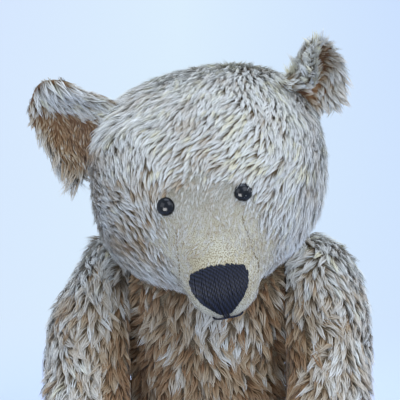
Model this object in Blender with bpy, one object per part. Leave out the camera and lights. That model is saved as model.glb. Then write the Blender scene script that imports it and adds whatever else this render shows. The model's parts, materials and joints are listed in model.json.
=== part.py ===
# Seated, jointed mohair teddy bear, about half a metre tall when it stands.
# It faces -Y, its own left side is at +X, and its seat rests on z = 0.
import math

import bmesh
import bpy
from mathutils import Matrix, Vector

mm = 0.001

# Cloth, seams and clearances
clothThickness = 1.8 * mm
earClothThickness = 1.6 * mm
seamGap = 1.2 * mm
clearance = 0.4 * mm
stuffingInset = 4.0 * mm
bodyStuffingInset = 5.5 * mm
legStuffingInset = 4.6 * mm
headStuffingInset = 5.5 * mm

# From the middle of the back seam's foot to the origin, which lies under the bear's middle
seatToOrigin = 52.4 * mm

# Places of the joints, before that shift; x is the plane between a limb and the body
bodyHalfWidth = 46.5 * mm
limbPlane = bodyHalfWidth + seamGap
neckPivot = Vector((0.0, -4.0, 205.0)) * mm
shoulderPivot = Vector((limbPlane, 2.0 * mm, 180.0 * mm))
hipPivot = Vector((limbPlane, -4.0 * mm, 33.3 * mm))

# Rest pose, in degrees
neckPitch = 18.0
headTurn = -6.7
headLean = 14.5
leanAxisRise = 36.0
armSwing = -42.0
legSwing = -90.0

# Joint hardware: card discs, steel washers, cotter pins
neckDiscRadius = 21.0 * mm
shoulderDiscRadius = 14.5 * mm
hipDiscRadius = 16.0 * mm
discThickness = 3.0 * mm
washerRadius = 7.0 * mm
washerThickness = 1.0 * mm
pinRadius = 1.3 * mm
pinHeadRadius = 3.0 * mm
pinHeadLength = 2.0 * mm
pinHoleRadius = 1.9 * mm

# Head, measured from the middle of the skull (x across, y to the back, z up).
# Its surface is read outwards from the core, which lies between skull and muzzle.
skullHeight = 66.0 * mm
headCore = Vector((0.0, -20.0, -8.0)) * mm
skullSize = Vector((67.0, 61.0, 47.0)) * mm
skullSquareness = 2.5
cheekPlace = Vector((-4.0, -25.0, -13.0)) * mm
cheekSize = Vector((58.0, 49.0, 45.0)) * mm
muzzleRoot = Vector((0.0, -40.0, -13.0)) * mm
muzzleTip = Vector((0.0, -79.0, -25.0)) * mm
muzzleRootRadius = 35.0 * mm
muzzleTipRadius = 21.0 * mm
neckTopRadius = 42.0 * mm
neckBottomRadius = 33.0 * mm
headBlend = 14.0 * mm
nearestSurface = 20.0 * mm
farthestSurface = 130.0 * mm
eyeRadius = 5.4 * mm
eyeDome = 4.2 * mm
eyePlace = Vector((19.9, -56.0, 17.0)) * mm
noseGap = 1.2 * mm
noseThickness = 1.6 * mm
mouthThread = 0.7 * mm

# Half width of the head gusset in degrees, by the angle round the head from the nose
gussetOutline = [
    (-24, 1.5), (-21, 9), (-17, 17), (-11, 21.5), (-2, 21), (18, 20.5), (34, 26.5), (70, 32), (110, 33),
    (160, 24), (200, 11), (226, 1.5)]

# Nose block, top to tip: angle below the core's level, half width, both in degrees. Its top edge
# rises by the arch in the middle and falls by the droop at its ends.
noseArch = 2.0
noseDroop = 5.0
noseOutline = [(-0.5, 11.6), (-3.5, 13.0), (-7.5, 12.8), (-11.5, 11.0), (-14.5, 7.6), (-17.5, 3.0)]

# Ear: half width, height, then ways from the skull's middle to the two ends of its seam and the
# way it stands. Wear has left the two uneven.
earCup = 11.0 * mm
earSeamLift = 2.2 * mm
earForms = {
    "left": (23.0 * mm, 39.0 * mm, Vector((0.68, 0.42, 0.60)), Vector((0.86, 0.42, 0.28)),
             Vector((0.66, 0.30, 0.69))),
    "right": (25.0 * mm, 45.0 * mm, Vector((-0.577, 0.55, 0.603)), Vector((-0.903, 0.389, 0.18)),
              Vector((-0.70, 0.30, 0.62)))}

# Cross-sections of the limbs, hanging straight down from the joint, in mm:
# height, distance of the middle from the joint plane, half width, middle's y, half depth.
# The right arm's stuffing has settled, so its shoulder starts narrower.
armSections = [
    (32, 12, 4, 0, 4), (29, 12, 13, 0, 15), (19, 12, 25, 0, 25), (0, 15, 30, 0, 29),
    (-25, 18, 31, 0, 28), (-55, 21, 27, -1, 25), (-85, 22.5, 23.5, -5, 22), (-112, 22, 21, -12, 20),
    (-132, 21, 20, -20, 20.5), (-147, 21, 15, -28, 16), (-153, 21, 4, -31, 5)]
slackShoulder = [
    (32, 11, 3, 0, 4), (29, 11, 9, 0, 13), (19, 11.5, 16, 0, 22), (0, 14, 24.5, 0, 27), (-25, 18, 30, 0, 28)]
legSections = [
    (32, 22, 4, 0, 4), (29, 21, 17, 0, 16), (19, 19, 31, 0, 27), (0, 20, 36, 0, 33),
    (-30, 22, 35, 0, 32), (-65, 26, 28, 1, 28), (-98, 25.5, 23, 2, 24), (-118, 25.5, 23, -2, 27),
    (-132, 25.5, 25, -8, 38), (-142, 25.5, 25.5, -14, 46), (-147, 25.5, 25.5, -14, 46)]
pawPadStart = 7.0

# Cross-sections of the body from the seat up, in mm: height, half width, front, back
bodySections = [
    (0, 3, -3, 3), (0, 28, -26, 26), (1.5, 40, -36, 34), (12, 53, -46, 43), (35, 59, -52, 48),
    (70, 57, -52, 47), (110, 54, -47, 45), (150, 57, -41, 47), (178, 61, -36, 48), (200, 53, -32, 39),
    (214, 32, -25, 26), (222, 5, -9, 3)]

mohairColour = (0.52, 0.43, 0.33, 1.0)
backingColour = (0.57, 0.50, 0.36, 1.0)
earColour = (0.30, 0.17, 0.08, 1.0)
feltColour = (0.42, 0.33, 0.22, 1.0)
buttonColour = (0.012, 0.013, 0.018, 1.0)
threadColour = (0.015, 0.016, 0.022, 1.0)
woodWoolColour = (0.55, 0.42, 0.22, 1.0)
cardColour = (0.35, 0.25, 0.15, 1.0)
steelColour = (0.45, 0.44, 0.42, 1.0)


def makeMaterial(name, colour, roughness, metallic=0.0):
    material = bpy.data.materials.new(name)
    material.use_nodes = True
    shader = material.node_tree.nodes["Principled BSDF"]
    shader.inputs["Base Color"].default_value = colour
    shader.inputs["Roughness"].default_value = roughness
    shader.inputs["Metallic"].default_value = metallic
    return material


def makeEmpty(name, matrix, parent=None):
    empty = bpy.data.objects.new(name, None)
    bpy.context.scene.collection.objects.link(empty)
    empty.parent = parent
    empty.matrix_local = matrix
    return empty


def addPiece(name, bm, material, parent, place=Matrix.Identity(4)):
    mesh = bpy.data.meshes.new(name)
    bm.to_mesh(mesh)
    bm.free()
    mesh.materials.append(material)
    mesh.shade_smooth()
    mesh.set_sharp_from_angle(angle=math.radians(40))
    piece = bpy.data.objects.new(name, mesh)
    bpy.context.scene.collection.objects.link(piece)
    piece.parent = parent
    piece.matrix_local = place
    return piece


def thicken(piece, thickness, outward=False):
    solidify = piece.modifiers.new("Cloth", "SOLIDIFY")
    solidify.thickness = thickness
    solidify.offset = 1.0 if outward else -1.0
    return piece


def addCutter(name, radius, low, high, parent, place, segments=24):
    bm = turned([(0, low), (radius, low), (radius, high), (0, high)], segments)
    cutter = addPiece(name, bm, cardMaterial, parent, place)
    cutter.hide_render = True
    cutter.display_type = "WIRE"
    return cutter


def cut(piece, cutter):
    boolean = piece.modifiers.new("Cut " + cutter.name, "BOOLEAN")
    boolean.operation = "DIFFERENCE"
    boolean.solver = "EXACT"
    boolean.object = cutter


def turned(profile, segments):
    """A body of revolution round Z from (radius, height) points."""
    bm = bmesh.new()
    verts = [bm.verts.new((radius, 0, height)) for radius, height in profile]
    edges = [bm.edges.new(pair) for pair in zip(verts, verts[1:])]
    bmesh.ops.spin(bm, geom=verts + edges, axis=(0, 0, 1), cent=(0, 0, 0),
                   angle=math.tau, steps=segments, use_merge=True)
    bmesh.ops.remove_doubles(bm, verts=bm.verts, dist=0.000001)
    bmesh.ops.recalc_face_normals(bm, faces=bm.faces)
    return bm


def drilled(radius, low, high, segments):
    """A flat disc with the pin's hole."""
    ring = [(pinHoleRadius, low), (radius, low), (radius, high), (pinHoleRadius, high)]
    return turned(ring + ring[:1], segments)


def sheet(rows, inside, closed=False):
    """A grid of faces through rows of points, facing away from the inside point."""
    bm = bmesh.new()
    grid = [[bm.verts.new(point) for point in row] for row in rows]
    for lower, upper in zip(grid, grid[1:]):
        count = len(lower)
        for i in range(count if closed else count - 1):
            j = (i + 1) % count
            bm.faces.new((lower[i], lower[j], upper[j], upper[i]))
    bmesh.ops.remove_doubles(bm, verts=bm.verts, dist=0.00001)
    bm.normal_update()
    facing = sum((face.calc_center_median() - inside).dot(face.normal) for face in bm.faces)
    if facing < 0:
        bmesh.ops.reverse_faces(bm, faces=bm.faces)
    return bm


def drawIn(bm, inset):
    bm.normal_update()
    moved = [(vert, vert.co - vert.normal * inset) for vert in bm.verts]
    for vert, place in moved:
        vert.co = place
    return bm


def stuffed(rows, inside, inset):
    """A closed body inside the same grid, its ends filled and its surface drawn in."""
    bm = sheet(rows, inside, closed=True)
    bmesh.ops.holes_fill(bm, edges=[edge for edge in bm.edges if edge.is_boundary], sides=0)
    bmesh.ops.recalc_face_normals(bm, faces=bm.faces)
    return drawIn(bm, inset)


def through(stations, step):
    """A smooth curve through stations, read at a fractional index."""
    last = len(stations) - 1
    index = min(int(step), last - 1)
    part = step - index
    near = [stations[min(max(index + k, 0), last)] for k in (-1, 0, 1, 2)]
    result = []
    for before, start, end, after in zip(*near):
        tangentIn = (end - before) / 2
        tangentOut = (after - start) / 2
        bend = part * part * (3 - 2 * part)
        result.append(start + (end - start) * bend + tangentIn * part * (1 - part) ** 2
                      - tangentOut * part * part * (1 - part))
    return result


def along(table, place):
    """Linear reading of a sorted (place, value) table."""
    if place <= table[0][0]:
        return table[0][1]
    for (fromPlace, fromValue), (toPlace, toValue) in zip(table, table[1:]):
        if place <= toPlace:
            share = (place - fromPlace) / (toPlace - fromPlace)
            return fromValue + (toValue - fromValue) * share
    return table[-1][1]


def steps(start, end, count):
    return [start + (end - start) * i / count for i in range(count + 1)]


# ---- Head form -------------------------------------------------------------

neckFrame = Matrix.Translation(neckPivot) @ Matrix.Rotation(math.radians(neckPitch), 4, "X")
leanAxis = Vector((0, -math.cos(math.radians(leanAxisRise)), math.sin(math.radians(leanAxisRise))))
headFrame = (Matrix.Translation((0, 0, skullHeight)) @ Matrix.Rotation(math.radians(headLean), 4, leanAxis)
             @ Matrix.Rotation(math.radians(headTurn), 4, "Z"))
neckInHead = headFrame.inverted() @ Vector((0, 0, 0.004))


def ellipsoidField(point, centre, size):
    scaled = Vector([(point[i] - centre[i]) / size[i] for i in range(3)])
    again = Vector([scaled[i] / size[i] for i in range(3)])
    if again.length == 0:
        return -min(size)
    return scaled.length * (scaled.length - 1) / again.length


def skullField(point):
    total = sum(abs(point[i] / skullSize[i]) ** skullSquareness for i in range(3))
    return (total ** (1 / skullSquareness) - 1) * min(skullSize)


def coneField(point, start, end, startRadius, endRadius):
    axis = end - start
    share = min(max((point - start).dot(axis) / axis.length_squared, 0), 1)
    return (point - start - axis * share).length - startRadius - (endRadius - startRadius) * share


def blended(first, second, width):
    overlap = max(width - abs(first - second), 0) / width
    return min(first, second) - overlap * overlap * width / 4


def headField(point):
    skull = skullField(point)
    cheeks = ellipsoidField(point, cheekPlace, cheekSize)
    muzzle = coneField(point, muzzleRoot, muzzleTip, muzzleRootRadius, muzzleTipRadius)
    neck = coneField(point, neckInHead * 0.5, neckInHead, neckTopRadius, neckBottomRadius)
    face = blended(blended(skull, cheeks, headBlend), muzzle, headBlend)
    return blended(face, neck, headBlend)


def headDirection(turn, aside):
    """Unit vector from the core: turn runs from the nose over the crown, aside from the middle."""
    turn, aside = math.radians(turn), math.radians(aside)
    return Vector((math.sin(aside), -math.cos(aside) * math.cos(turn), math.cos(aside) * math.sin(turn)))


def onHead(direction):
    near, far = nearestSurface, farthestSurface
    for halving in range(22):
        middle = (near + far) / 2
        if headField(headCore + direction * middle) > 0:
            far = middle
        else:
            near = middle
    return headCore + direction * near


def headNormal(point):
    reach = 0.0005
    slope = [headField(point + axis * reach) - headField(point - axis * reach)
             for axis in (Vector((1, 0, 0)), Vector((0, 1, 0)), Vector((0, 0, 1)))]
    return Vector(slope).normalized()


def headPoint(turn, aside, lift=0.0):
    """A point of the head in the neck's frame, flat where it meets the neck joint."""
    surface = onHead(headDirection(turn, aside))
    place = headFrame @ (surface + headNormal(surface) * lift)
    place.z = max(place.z, seamGap / 2)
    return place


# ---- Limb and body forms ---------------------------------------------------

def limbRing(sections, step, angles, side):
    height, middle, halfWidth, middleY, halfDepth = through(sections, step)
    ring = []
    for angle in angles:
        x = max(middle + halfWidth * math.cos(angle), 0)
        ring.append(Vector((side * x, middleY + halfDepth * math.sin(angle), height)) * mm)
    return ring


def seamAngles(halfDepth, first, last, count):
    gap = seamGap / 2 / max(halfDepth * mm, 0.002)
    return steps(first + gap, last - gap, count)


def limbRows(sections, firstStep, lastStep, count, first, last, around, side):
    rows = []
    for step in steps(firstStep, lastStep, count):
        halfWidth, halfDepth = through(sections, step)[2], through(sections, step)[4]
        angles = seamAngles(min(halfWidth, halfDepth), first, last, around)
        rows.append(limbRing(sections, step, angles, side))
    return rows


def closedLimbRows(sections, count, around, side):
    angles = [math.tau * i / around for i in range(around)]
    return [limbRing(sections, step, angles, side) for step in steps(0, len(sections) - 1, count)]


def bodyRing(step, angles):
    height, halfWidth, front, back = through(bodySections, step)
    ring = []
    for angle in angles:
        x = halfWidth * math.cos(angle) * mm
        depth = back if math.sin(angle) > 0 else -front
        y = depth * math.sin(angle) * mm
        x = max(-bodyHalfWidth, min(x, bodyHalfWidth))
        top = neckPivot.z + (y - neckPivot.y) * math.tan(math.radians(neckPitch))
        z = min(height * mm, top - seamGap / 2 / math.cos(math.radians(neckPitch)))
        ring.append(Vector((x, y, max(z, 0))))
    return ring


# ---- Pieces ----------------------------------------------------------------

def makeJoint(name, moving, radius, parents, places, skins, stuffings):
    """Discs, washers and a pin; local +Z points into the moving side, z = 0 is between the cloths."""
    movingParent, bodyParent = parents
    movingPlace, bodyPlace = places
    inner = seamGap / 2 + clothThickness + clearance
    discEnd = inner + discThickness
    washerEnd = discEnd + clearance + washerThickness
    pinEnd = washerEnd + clearance
    pocketEnd = pinEnd + pinHeadLength + clearance
    halves = ((movingPlace, movingParent, 1, moving), (bodyPlace, bodyParent, -1, "body"))
    for place, parent, sign, end in halves:
        disc = drilled(radius, inner * sign, discEnd * sign, 16)
        washer = drilled(washerRadius, (discEnd + clearance) * sign, washerEnd * sign, 10)
        addPiece(f"{name}_disc_{end}", disc, cardMaterial, parent, place)
        addPiece(f"{name}_washer_{end}", washer, steelMaterial, parent, place)
    pinTip = pinEnd + pinHeadLength
    pin = [(0, pinTip), (pinHeadRadius * 0.8, pinTip), (pinHeadRadius, pinEnd), (pinRadius, pinEnd),
           (pinRadius, -pinEnd), (pinHeadRadius, -pinEnd), (pinHeadRadius * 0.8, -pinTip), (0, -pinTip)]
    addPiece(f"{name}_pin", turned(pin, 8), steelMaterial, movingParent, movingPlace)
    hole = addCutter(f"{name}_hole_cutter", pinHoleRadius, -8 * mm, 8 * mm, movingParent, movingPlace, 12)
    pocket = addCutter(f"{name}_pocket_cutter", radius + clearance, -pocketEnd, pocketEnd,
                       movingParent, movingPlace, 20)
    for skin in skins:
        cut(skin, hole)
    for filling in stuffings:
        cut(filling, pocket)


def makeHead(parent):
    core = headFrame @ headCore
    rise = math.degrees(seamGap / 2 / (muzzleRootRadius + muzzleTipRadius))
    nose, nape = gussetOutline[0][0], gussetOutline[-1][0]
    overTop = steps(nose, 48, 12)[:-1] + steps(48, nape, 15)
    turns = overTop + steps(nape, nose + 360, 10)[1:-1]
    gussetRows = []
    for turn in overTop:
        halfWidth = along(gussetOutline, turn) - rise
        gussetRows.append([headPoint(turn, aside) for aside in steps(-halfWidth, halfWidth, 6)])
    gusset = thicken(addPiece("head_gusset", sheet(gussetRows, core), mohairMaterial, parent), clothThickness)

    sides = []
    for side, word in ((1, "left"), (-1, "right")):
        rows = []
        for share in steps(0, 1, 6):
            row = []
            for turn in turns:
                edge = along(gussetOutline, turn) + rise if turn <= nape else rise
                row.append(headPoint(turn, side * (edge + (90 - edge) * share ** 1.5)))
            rows.append(row)
        middle = headFrame @ (headCore + Vector((side * 0.02, 0, 0)))
        panel = addPiece(f"head_side_{word}", sheet(rows, middle, closed=True), mohairMaterial, parent)
        sides.append(thicken(panel, clothThickness))

    ballRows = [[headPoint(turn, aside) for turn in turns[::2]] for aside in steps(-90, 90, 12)]
    filling = addPiece("head_stuffing", stuffed(ballRows, core, headStuffingInset), woodWoolMaterial, parent)
    return gusset, sides, filling


def makeEyes(parent, skins, filling):
    profile = [(0, -6 * mm), (1.0 * mm, -6 * mm), (1.0 * mm, 0.4 * mm), (eyeRadius * 0.7, 0.4 * mm)]
    for angle in steps(-15, 90, 5):
        turn = math.radians(angle)
        profile.append((max(eyeRadius * math.cos(turn), 0), 1.5 * mm + eyeDome * math.sin(turn)))
    for side, word in ((1, "left"), (-1, "right")):
        aim = Vector((side * eyePlace.x, eyePlace.y, eyePlace.z)) - headCore
        point = onHead(aim.normalized())
        facing = headNormal(point).to_track_quat("Z", "Y").to_matrix().to_4x4()
        place = headFrame @ Matrix.Translation(point) @ facing
        addPiece(f"eye_{word}", turned(profile, 12), buttonMaterial, parent, place)
        hole = addCutter(f"eye_{word}_cutter", 1.6 * mm, -8 * mm, 3 * mm, parent, place, 8)
        for piece in skins + [filling]:
            cut(piece, hole)


def makeNose(parent):
    widest = max(halfWidth for turn, halfWidth in noseOutline)
    top, tip = noseOutline[0][0], noseOutline[-1][0]
    rows = []
    for turn, halfWidth in noseOutline:
        share = (turn - tip) / (top - tip)
        rows.append([headPoint(turn + share * (noseArch - noseDroop * (aside / widest) ** 2), aside, noseGap)
                     for aside in steps(-halfWidth, halfWidth, 8)])
    nose = addPiece("nose_stitching", sheet(rows, headFrame @ headCore), threadMaterial, parent)
    thicken(nose, noseThickness, outward=True)

    curve = bpy.data.curves.new("mouth_stitching", "CURVE")
    curve.dimensions = "3D"
    curve.bevel_depth = mouthThread
    curve.bevel_resolution = 1
    curve.use_fill_caps = True
    curve.materials.append(threadMaterial)
    line = curve.splines.new("POLY")
    line.points.add(12)
    for point, share in zip(line.points, steps(-1, 1, 12)):
        place = headPoint(-20.6 - 3.6 * abs(share), 7 * share, 1.6 * mm)
        point.co = (*place, 1)
    mouth = bpy.data.objects.new("mouth_stitching", curve)
    bpy.context.scene.collection.objects.link(mouth)
    mouth.parent = parent


def makeEar(parent, word):
    halfWidth, height, top, low, way = earForms[word]
    top, low, way = top.normalized(), low.normalized(), way.normalized()
    ends = [onHead(direction) for direction in (top, low)]
    across = ends[1] - ends[0]
    across = (across - way * across.dot(way)).normalized()
    middle = onHead((top + low).normalized())
    back = across.cross(way)
    if back.y < 0:
        back = -back
    rows = []
    for share in steps(-0.95, 0.95, 9):
        seamPoint = onHead((top * (1 - share) / 2 + low * (1 + share) / 2).normalized())
        base = seamPoint + headNormal(seamPoint) * earSeamLift
        rim = middle + across * (halfWidth * share) + way * (height * math.sqrt(1 - share * share))
        row = []
        for rise in steps(0, 1, 4):
            hollow = earCup * (1 - share * share) * math.sin(math.pi * rise * 0.85)
            row.append(headFrame @ (base.lerp(rim, rise) + back * hollow))
        rows.append(row)
    behind = headFrame @ (middle + way * height * 0.5 + back * 0.2)
    for layer, material, shift in (("front", earMaterial, -1), ("back", mohairMaterial, 1)):
        bm = drawIn(sheet(rows, behind), shift * clearance / 2)
        ear = addPiece(f"ear_{word}_{layer}", bm, material, parent)
        thicken(ear, earClothThickness, outward=layer == "front")


def makeBody(parent):
    last = len(bodySections) - 1
    panels = []
    for side, word in ((1, "left"), (-1, "right")):
        rows = []
        for step in steps(0, last, 17):
            depth = through(bodySections, step)[3]
            angles = seamAngles(depth, -math.pi / 2, math.pi / 2, 10)
            rows.append([Vector((side * point.x, point.y, point.z)) for point in bodyRing(step, angles)])
        inside = Vector((0, 0, 0.1))
        panels.append(thicken(addPiece(f"body_panel_{word}", sheet(rows, inside), mohairMaterial, parent),
                              clothThickness))
    around = [math.tau * i / 16 for i in range(16)]
    rows = [bodyRing(step, around) for step in steps(0, last, 12)]
    bm = stuffed(rows, Vector((0, 0, 0.1)), bodyStuffingInset)
    filling = addPiece("body_stuffing", bm, woodWoolMaterial, parent)
    return panels, filling


def makeArm(parent, side, word):
    sections = armSections if side > 0 else slackShoulder + armSections[len(slackShoulder):]
    last = len(sections) - 1
    quarter = math.pi / 2
    inside = Vector((side * 0.02, 0, -0.06))
    outer = limbRows(sections, 0, last, 14, -quarter, quarter, 6, side)
    padGap = 0.06
    inner = limbRows(sections, 0, pawPadStart - padGap, 9, quarter, 3 * quarter, 6, side)
    pad = limbRows(sections, pawPadStart + padGap, last, 5, quarter, 3 * quarter, 6, side)
    skins = []
    for part, rows, material in (("outer", outer, mohairMaterial), ("inner", inner, mohairMaterial),
                                 ("paw_pad", pad, feltMaterial)):
        piece = addPiece(f"arm_{word}_{part}", sheet(rows, inside), material, parent)
        skins.append(thicken(piece, clothThickness))
    rows = closedLimbRows(sections, 10, 10, side)
    filling = addPiece(f"arm_{word}_stuffing", stuffed(rows, inside, stuffingInset), woodWoolMaterial, parent)
    return skins[:2], filling


def makeLeg(parent, side, word):
    last = len(legSections) - 1
    inside = Vector((side * 0.025, 0, -0.05))
    rows = closedLimbRows(legSections, 14, 14, side)
    cover = thicken(addPiece(f"leg_{word}_cover", sheet(rows, inside, closed=True), mohairMaterial, parent),
                    clothThickness)
    soleHeight, middle, halfWidth, middleY, halfDepth = legSections[-1]
    rows = closedLimbRows(legSections, 10, 10, side)
    bm = stuffed(rows, inside, legStuffingInset)
    filling = addPiece(f"leg_{word}_stuffing", bm, woodWoolMaterial, parent)
    oval = Vector((side * middle, middleY, soleHeight)) * mm
    for part, shrink, drop, thickness, material in (
            ("foot_pad", 0.6 * mm, 0.5 * mm, clothThickness, feltMaterial),
            ("foot_card", 3.6 * mm, -2.0 * mm, 1.8 * mm, cardMaterial)):
        bm = bmesh.new()
        bmesh.ops.create_circle(bm, cap_ends=True, segments=24, radius=1.0)
        bmesh.ops.scale(bm, vec=(halfWidth * mm - shrink, halfDepth * mm - shrink, 1), verts=bm.verts)
        top = bmesh.ops.extrude_face_region(bm, geom=bm.faces[:])
        lower = [item for item in top["geom"] if isinstance(item, bmesh.types.BMVert)]
        bmesh.ops.translate(bm, vec=(0, 0, -thickness), verts=lower)
        bmesh.ops.translate(bm, vec=oval - Vector((0, 0, drop)), verts=bm.verts)
        bmesh.ops.recalc_face_normals(bm, faces=bm.faces)
        addPiece(f"leg_{word}_{part}", bm, material, parent)
    return [cover], filling


for old in list(bpy.data.objects):
    bpy.data.objects.remove(old)

mohairMaterial = makeMaterial("Mohair plush", mohairColour, 0.85)
earMaterial = makeMaterial("Worn ear cloth", earColour, 0.9)
feltMaterial = makeMaterial("Wool felt", feltColour, 0.9)
buttonMaterial = makeMaterial("Boot button", buttonColour, 0.15)
threadMaterial = makeMaterial("Black silk thread", threadColour, 0.5)
woodWoolMaterial = makeMaterial("Wood wool", woodWoolColour, 0.9)
cardMaterial = makeMaterial("Grey card", cardColour, 0.85)
steelMaterial = makeMaterial("Steel", steelColour, 0.4, 1.0)

bear = makeEmpty("bear", Matrix.Translation((0, seatToOrigin, 0)))
neckAxis = makeEmpty("neck_axis", neckFrame, bear)
bodyPanels, bodyFilling = makeBody(bear)
headGusset, headSides, headFilling = makeHead(neckAxis)
makeEyes(neckAxis, [headGusset] + headSides, headFilling)
makeNose(neckAxis)
makeJoint("neck", "head", neckDiscRadius, (neckAxis, bear), (Matrix.Identity(4), neckFrame),
          headSides + bodyPanels, [headFilling, bodyFilling])

for side, word in ((1, "left"), (-1, "right")):
    makeEar(neckAxis, word)
    toSide = Matrix.Rotation(side * math.pi / 2, 4, "Y")
    panel = bodyPanels[0] if side > 0 else bodyPanels[1]
    for limb, pivot, swing, radius, makeLimb in (
            ("shoulder", shoulderPivot, armSwing, shoulderDiscRadius, makeArm),
            ("hip", hipPivot, legSwing, hipDiscRadius, makeLeg)):
        centre = Vector((side * pivot.x, pivot.y, pivot.z))
        frame = Matrix.Translation(centre) @ Matrix.Rotation(math.radians(swing), 4, "X")
        axis = makeEmpty(f"{limb}_axis_{word}", frame, bear)
        skins, filling = makeLimb(axis, side, word)
        between = Matrix.Translation((side * -seamGap / 2, 0, 0)) @ toSide
        makeJoint(f"{limb}_{word}", "limb", radius, (axis, bear),
                  (between, Matrix.Translation(centre) @ between), skins + [panel], [filling, bodyFilling])
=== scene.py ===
import json
import math

import bmesh
import bpy
import numpy as np
from mathutils import Matrix, Vector
from mathutils.kdtree import KDTree

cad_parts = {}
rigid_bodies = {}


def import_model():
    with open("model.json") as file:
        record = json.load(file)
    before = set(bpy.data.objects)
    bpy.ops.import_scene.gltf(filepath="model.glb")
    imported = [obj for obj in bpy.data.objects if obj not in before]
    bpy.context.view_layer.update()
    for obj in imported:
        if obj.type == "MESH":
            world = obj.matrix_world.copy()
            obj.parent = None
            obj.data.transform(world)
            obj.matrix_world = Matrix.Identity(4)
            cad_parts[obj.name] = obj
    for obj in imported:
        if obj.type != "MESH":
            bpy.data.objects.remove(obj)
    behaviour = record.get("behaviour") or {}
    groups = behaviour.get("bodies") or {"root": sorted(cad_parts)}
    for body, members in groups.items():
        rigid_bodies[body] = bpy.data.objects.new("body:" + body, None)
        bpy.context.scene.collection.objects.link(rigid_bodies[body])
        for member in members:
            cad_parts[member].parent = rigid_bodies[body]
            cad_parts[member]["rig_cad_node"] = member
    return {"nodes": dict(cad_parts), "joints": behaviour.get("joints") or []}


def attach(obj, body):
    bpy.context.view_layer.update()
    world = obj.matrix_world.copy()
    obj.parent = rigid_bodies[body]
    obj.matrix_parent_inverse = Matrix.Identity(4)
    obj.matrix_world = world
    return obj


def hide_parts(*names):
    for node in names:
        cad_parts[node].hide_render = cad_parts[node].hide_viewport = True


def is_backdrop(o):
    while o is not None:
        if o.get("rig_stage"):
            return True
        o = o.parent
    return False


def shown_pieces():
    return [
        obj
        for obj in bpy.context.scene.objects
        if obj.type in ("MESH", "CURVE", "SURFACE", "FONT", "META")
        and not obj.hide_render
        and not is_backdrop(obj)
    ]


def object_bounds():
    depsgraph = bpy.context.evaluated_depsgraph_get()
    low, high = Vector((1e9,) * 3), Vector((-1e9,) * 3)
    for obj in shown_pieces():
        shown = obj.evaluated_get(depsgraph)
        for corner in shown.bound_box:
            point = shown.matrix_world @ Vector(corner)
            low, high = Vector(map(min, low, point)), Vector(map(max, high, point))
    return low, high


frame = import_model()
cadBox = [list(corner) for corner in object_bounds()]

scene = bpy.context.scene
mm = 0.001
joints = {joint["name"]: joint for joint in frame["joints"]}
neckPivot = Vector(joints["neck_swivel"]["pos_m"])
neckAxis = Vector(joints["neck_swivel"]["axis"])
shoulderPivot = Vector(joints["shoulder_left"]["pos_m"])
hipPivot = Vector(joints["hip_left"]["pos_m"])
seamGap = 1.2 * mm
sides = ((1, "left"), (-1, "right"))
randoms = np.random.default_rng(1904)


def linear(colour):
    parts = [int(colour[i:i + 2], 16) / 255 for i in (1, 3, 5)]
    return (*[part / 12.92 if part <= 0.04045 else ((part + 0.055) / 1.055) ** 2.4
              for part in parts], 1.0)


def feed(node, inputs):
    # each input takes a constant, a socket's link, or a link from a node's first live output
    for name, value in inputs.items():
        if isinstance(value, bpy.types.Node):
            value = next(socket for socket in value.outputs if socket.enabled)
        if isinstance(value, bpy.types.NodeSocket):
            node.id_data.links.new(value, node.inputs[name])
        else:
            node.inputs[name].default_value = value


def addNode(tree, kind, inputs={}, stops=(), **settings):
    # one node with its settings, its constant inputs and links and, on a ramp, its colour stops
    node = tree.nodes.new(kind)
    for name, value in settings.items():
        setattr(node, name, value)
    feed(node, inputs)
    for index, (place, colour) in enumerate(stops):
        elements = node.color_ramp.elements
        element = elements[index] if index < 2 else elements.new(place)
        element.position = place
        element.color = linear(colour)
    return node


def newMaterial(name, roughness, **values):
    material = bpy.data.materials.new(name)
    material.use_nodes = True
    shader = material.node_tree.nodes["Principled BSDF"]
    values = {socket.replace("_", " "): value for socket, value in values.items()}
    feed(shader, {"Roughness": roughness, **values})
    return material, material.node_tree, shader


def addObject(name, data):
    made = bpy.data.objects.new(name, data)
    scene.collection.objects.link(made)
    return made


def newPiece(name, verts, faces, materials):
    mesh = bpy.data.meshes.new(name)
    mesh.from_pydata([tuple(vert) for vert in verts], [], faces)
    mesh.validate()
    for material in materials:
        mesh.materials.append(material)
    mesh.shade_smooth()
    return addObject(name, mesh)


def turnOutwards(piece, merge=True):
    bm = bmesh.new()
    bm.from_mesh(piece.data)
    if merge:
        bmesh.ops.remove_doubles(bm, verts=bm.verts, dist=0.01 * mm)
    bmesh.ops.recalc_face_normals(bm, faces=bm.faces)
    bm.to_mesh(piece.data)
    bm.free()


def asMesh(piece):
    # the piece with its modifiers applied, as a mesh of its own
    return bpy.data.meshes.new_from_object(piece.evaluated_get(bpy.context.evaluated_depsgraph_get()))


def searchTree(points):
    tree = KDTree(len(points))
    for index, point in enumerate(points):
        tree.insert(point, index)
    tree.balance()
    return tree


def moved(matrix, points):
    # points, one a row, through a 4 by 4 matrix
    table = np.array(matrix)
    return np.asarray(points) @ table[:3, :3].T + table[:3, 3]


def lengths(vectors):
    return np.linalg.norm(vectors, axis=1)


def unit(vectors):
    return vectors / np.maximum(lengths(vectors), 1e-9)[:, None]


def ease(values, low, high):
    share = np.clip((values - low) / (high - low), 0, 1)
    return share * share * (3 - 2 * share)


def waver(points, wavelength, phase):
    # a smooth, seeded unevenness between about -1 and 1
    total = np.zeros(len(points))
    for turn in range(5):
        way = np.array([math.sin(turn * 2.4 + phase), math.cos(turn * 1.7 + phase * 2),
                        math.sin(turn + phase * 3)])
        finer = 0.7 + 0.2 * turn
        total += np.sin(points @ way * (math.tau / wavelength) * finer + phase * (turn + 1))
    return total / 2.6


def mottle(points, layers, shift=0.0):
    # wavers laid over each other, each given as its amount, its wavelength in mm and its phase
    return sum(amount * waver(points, size * mm, phase + shift) for amount, size, phase in layers)


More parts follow.
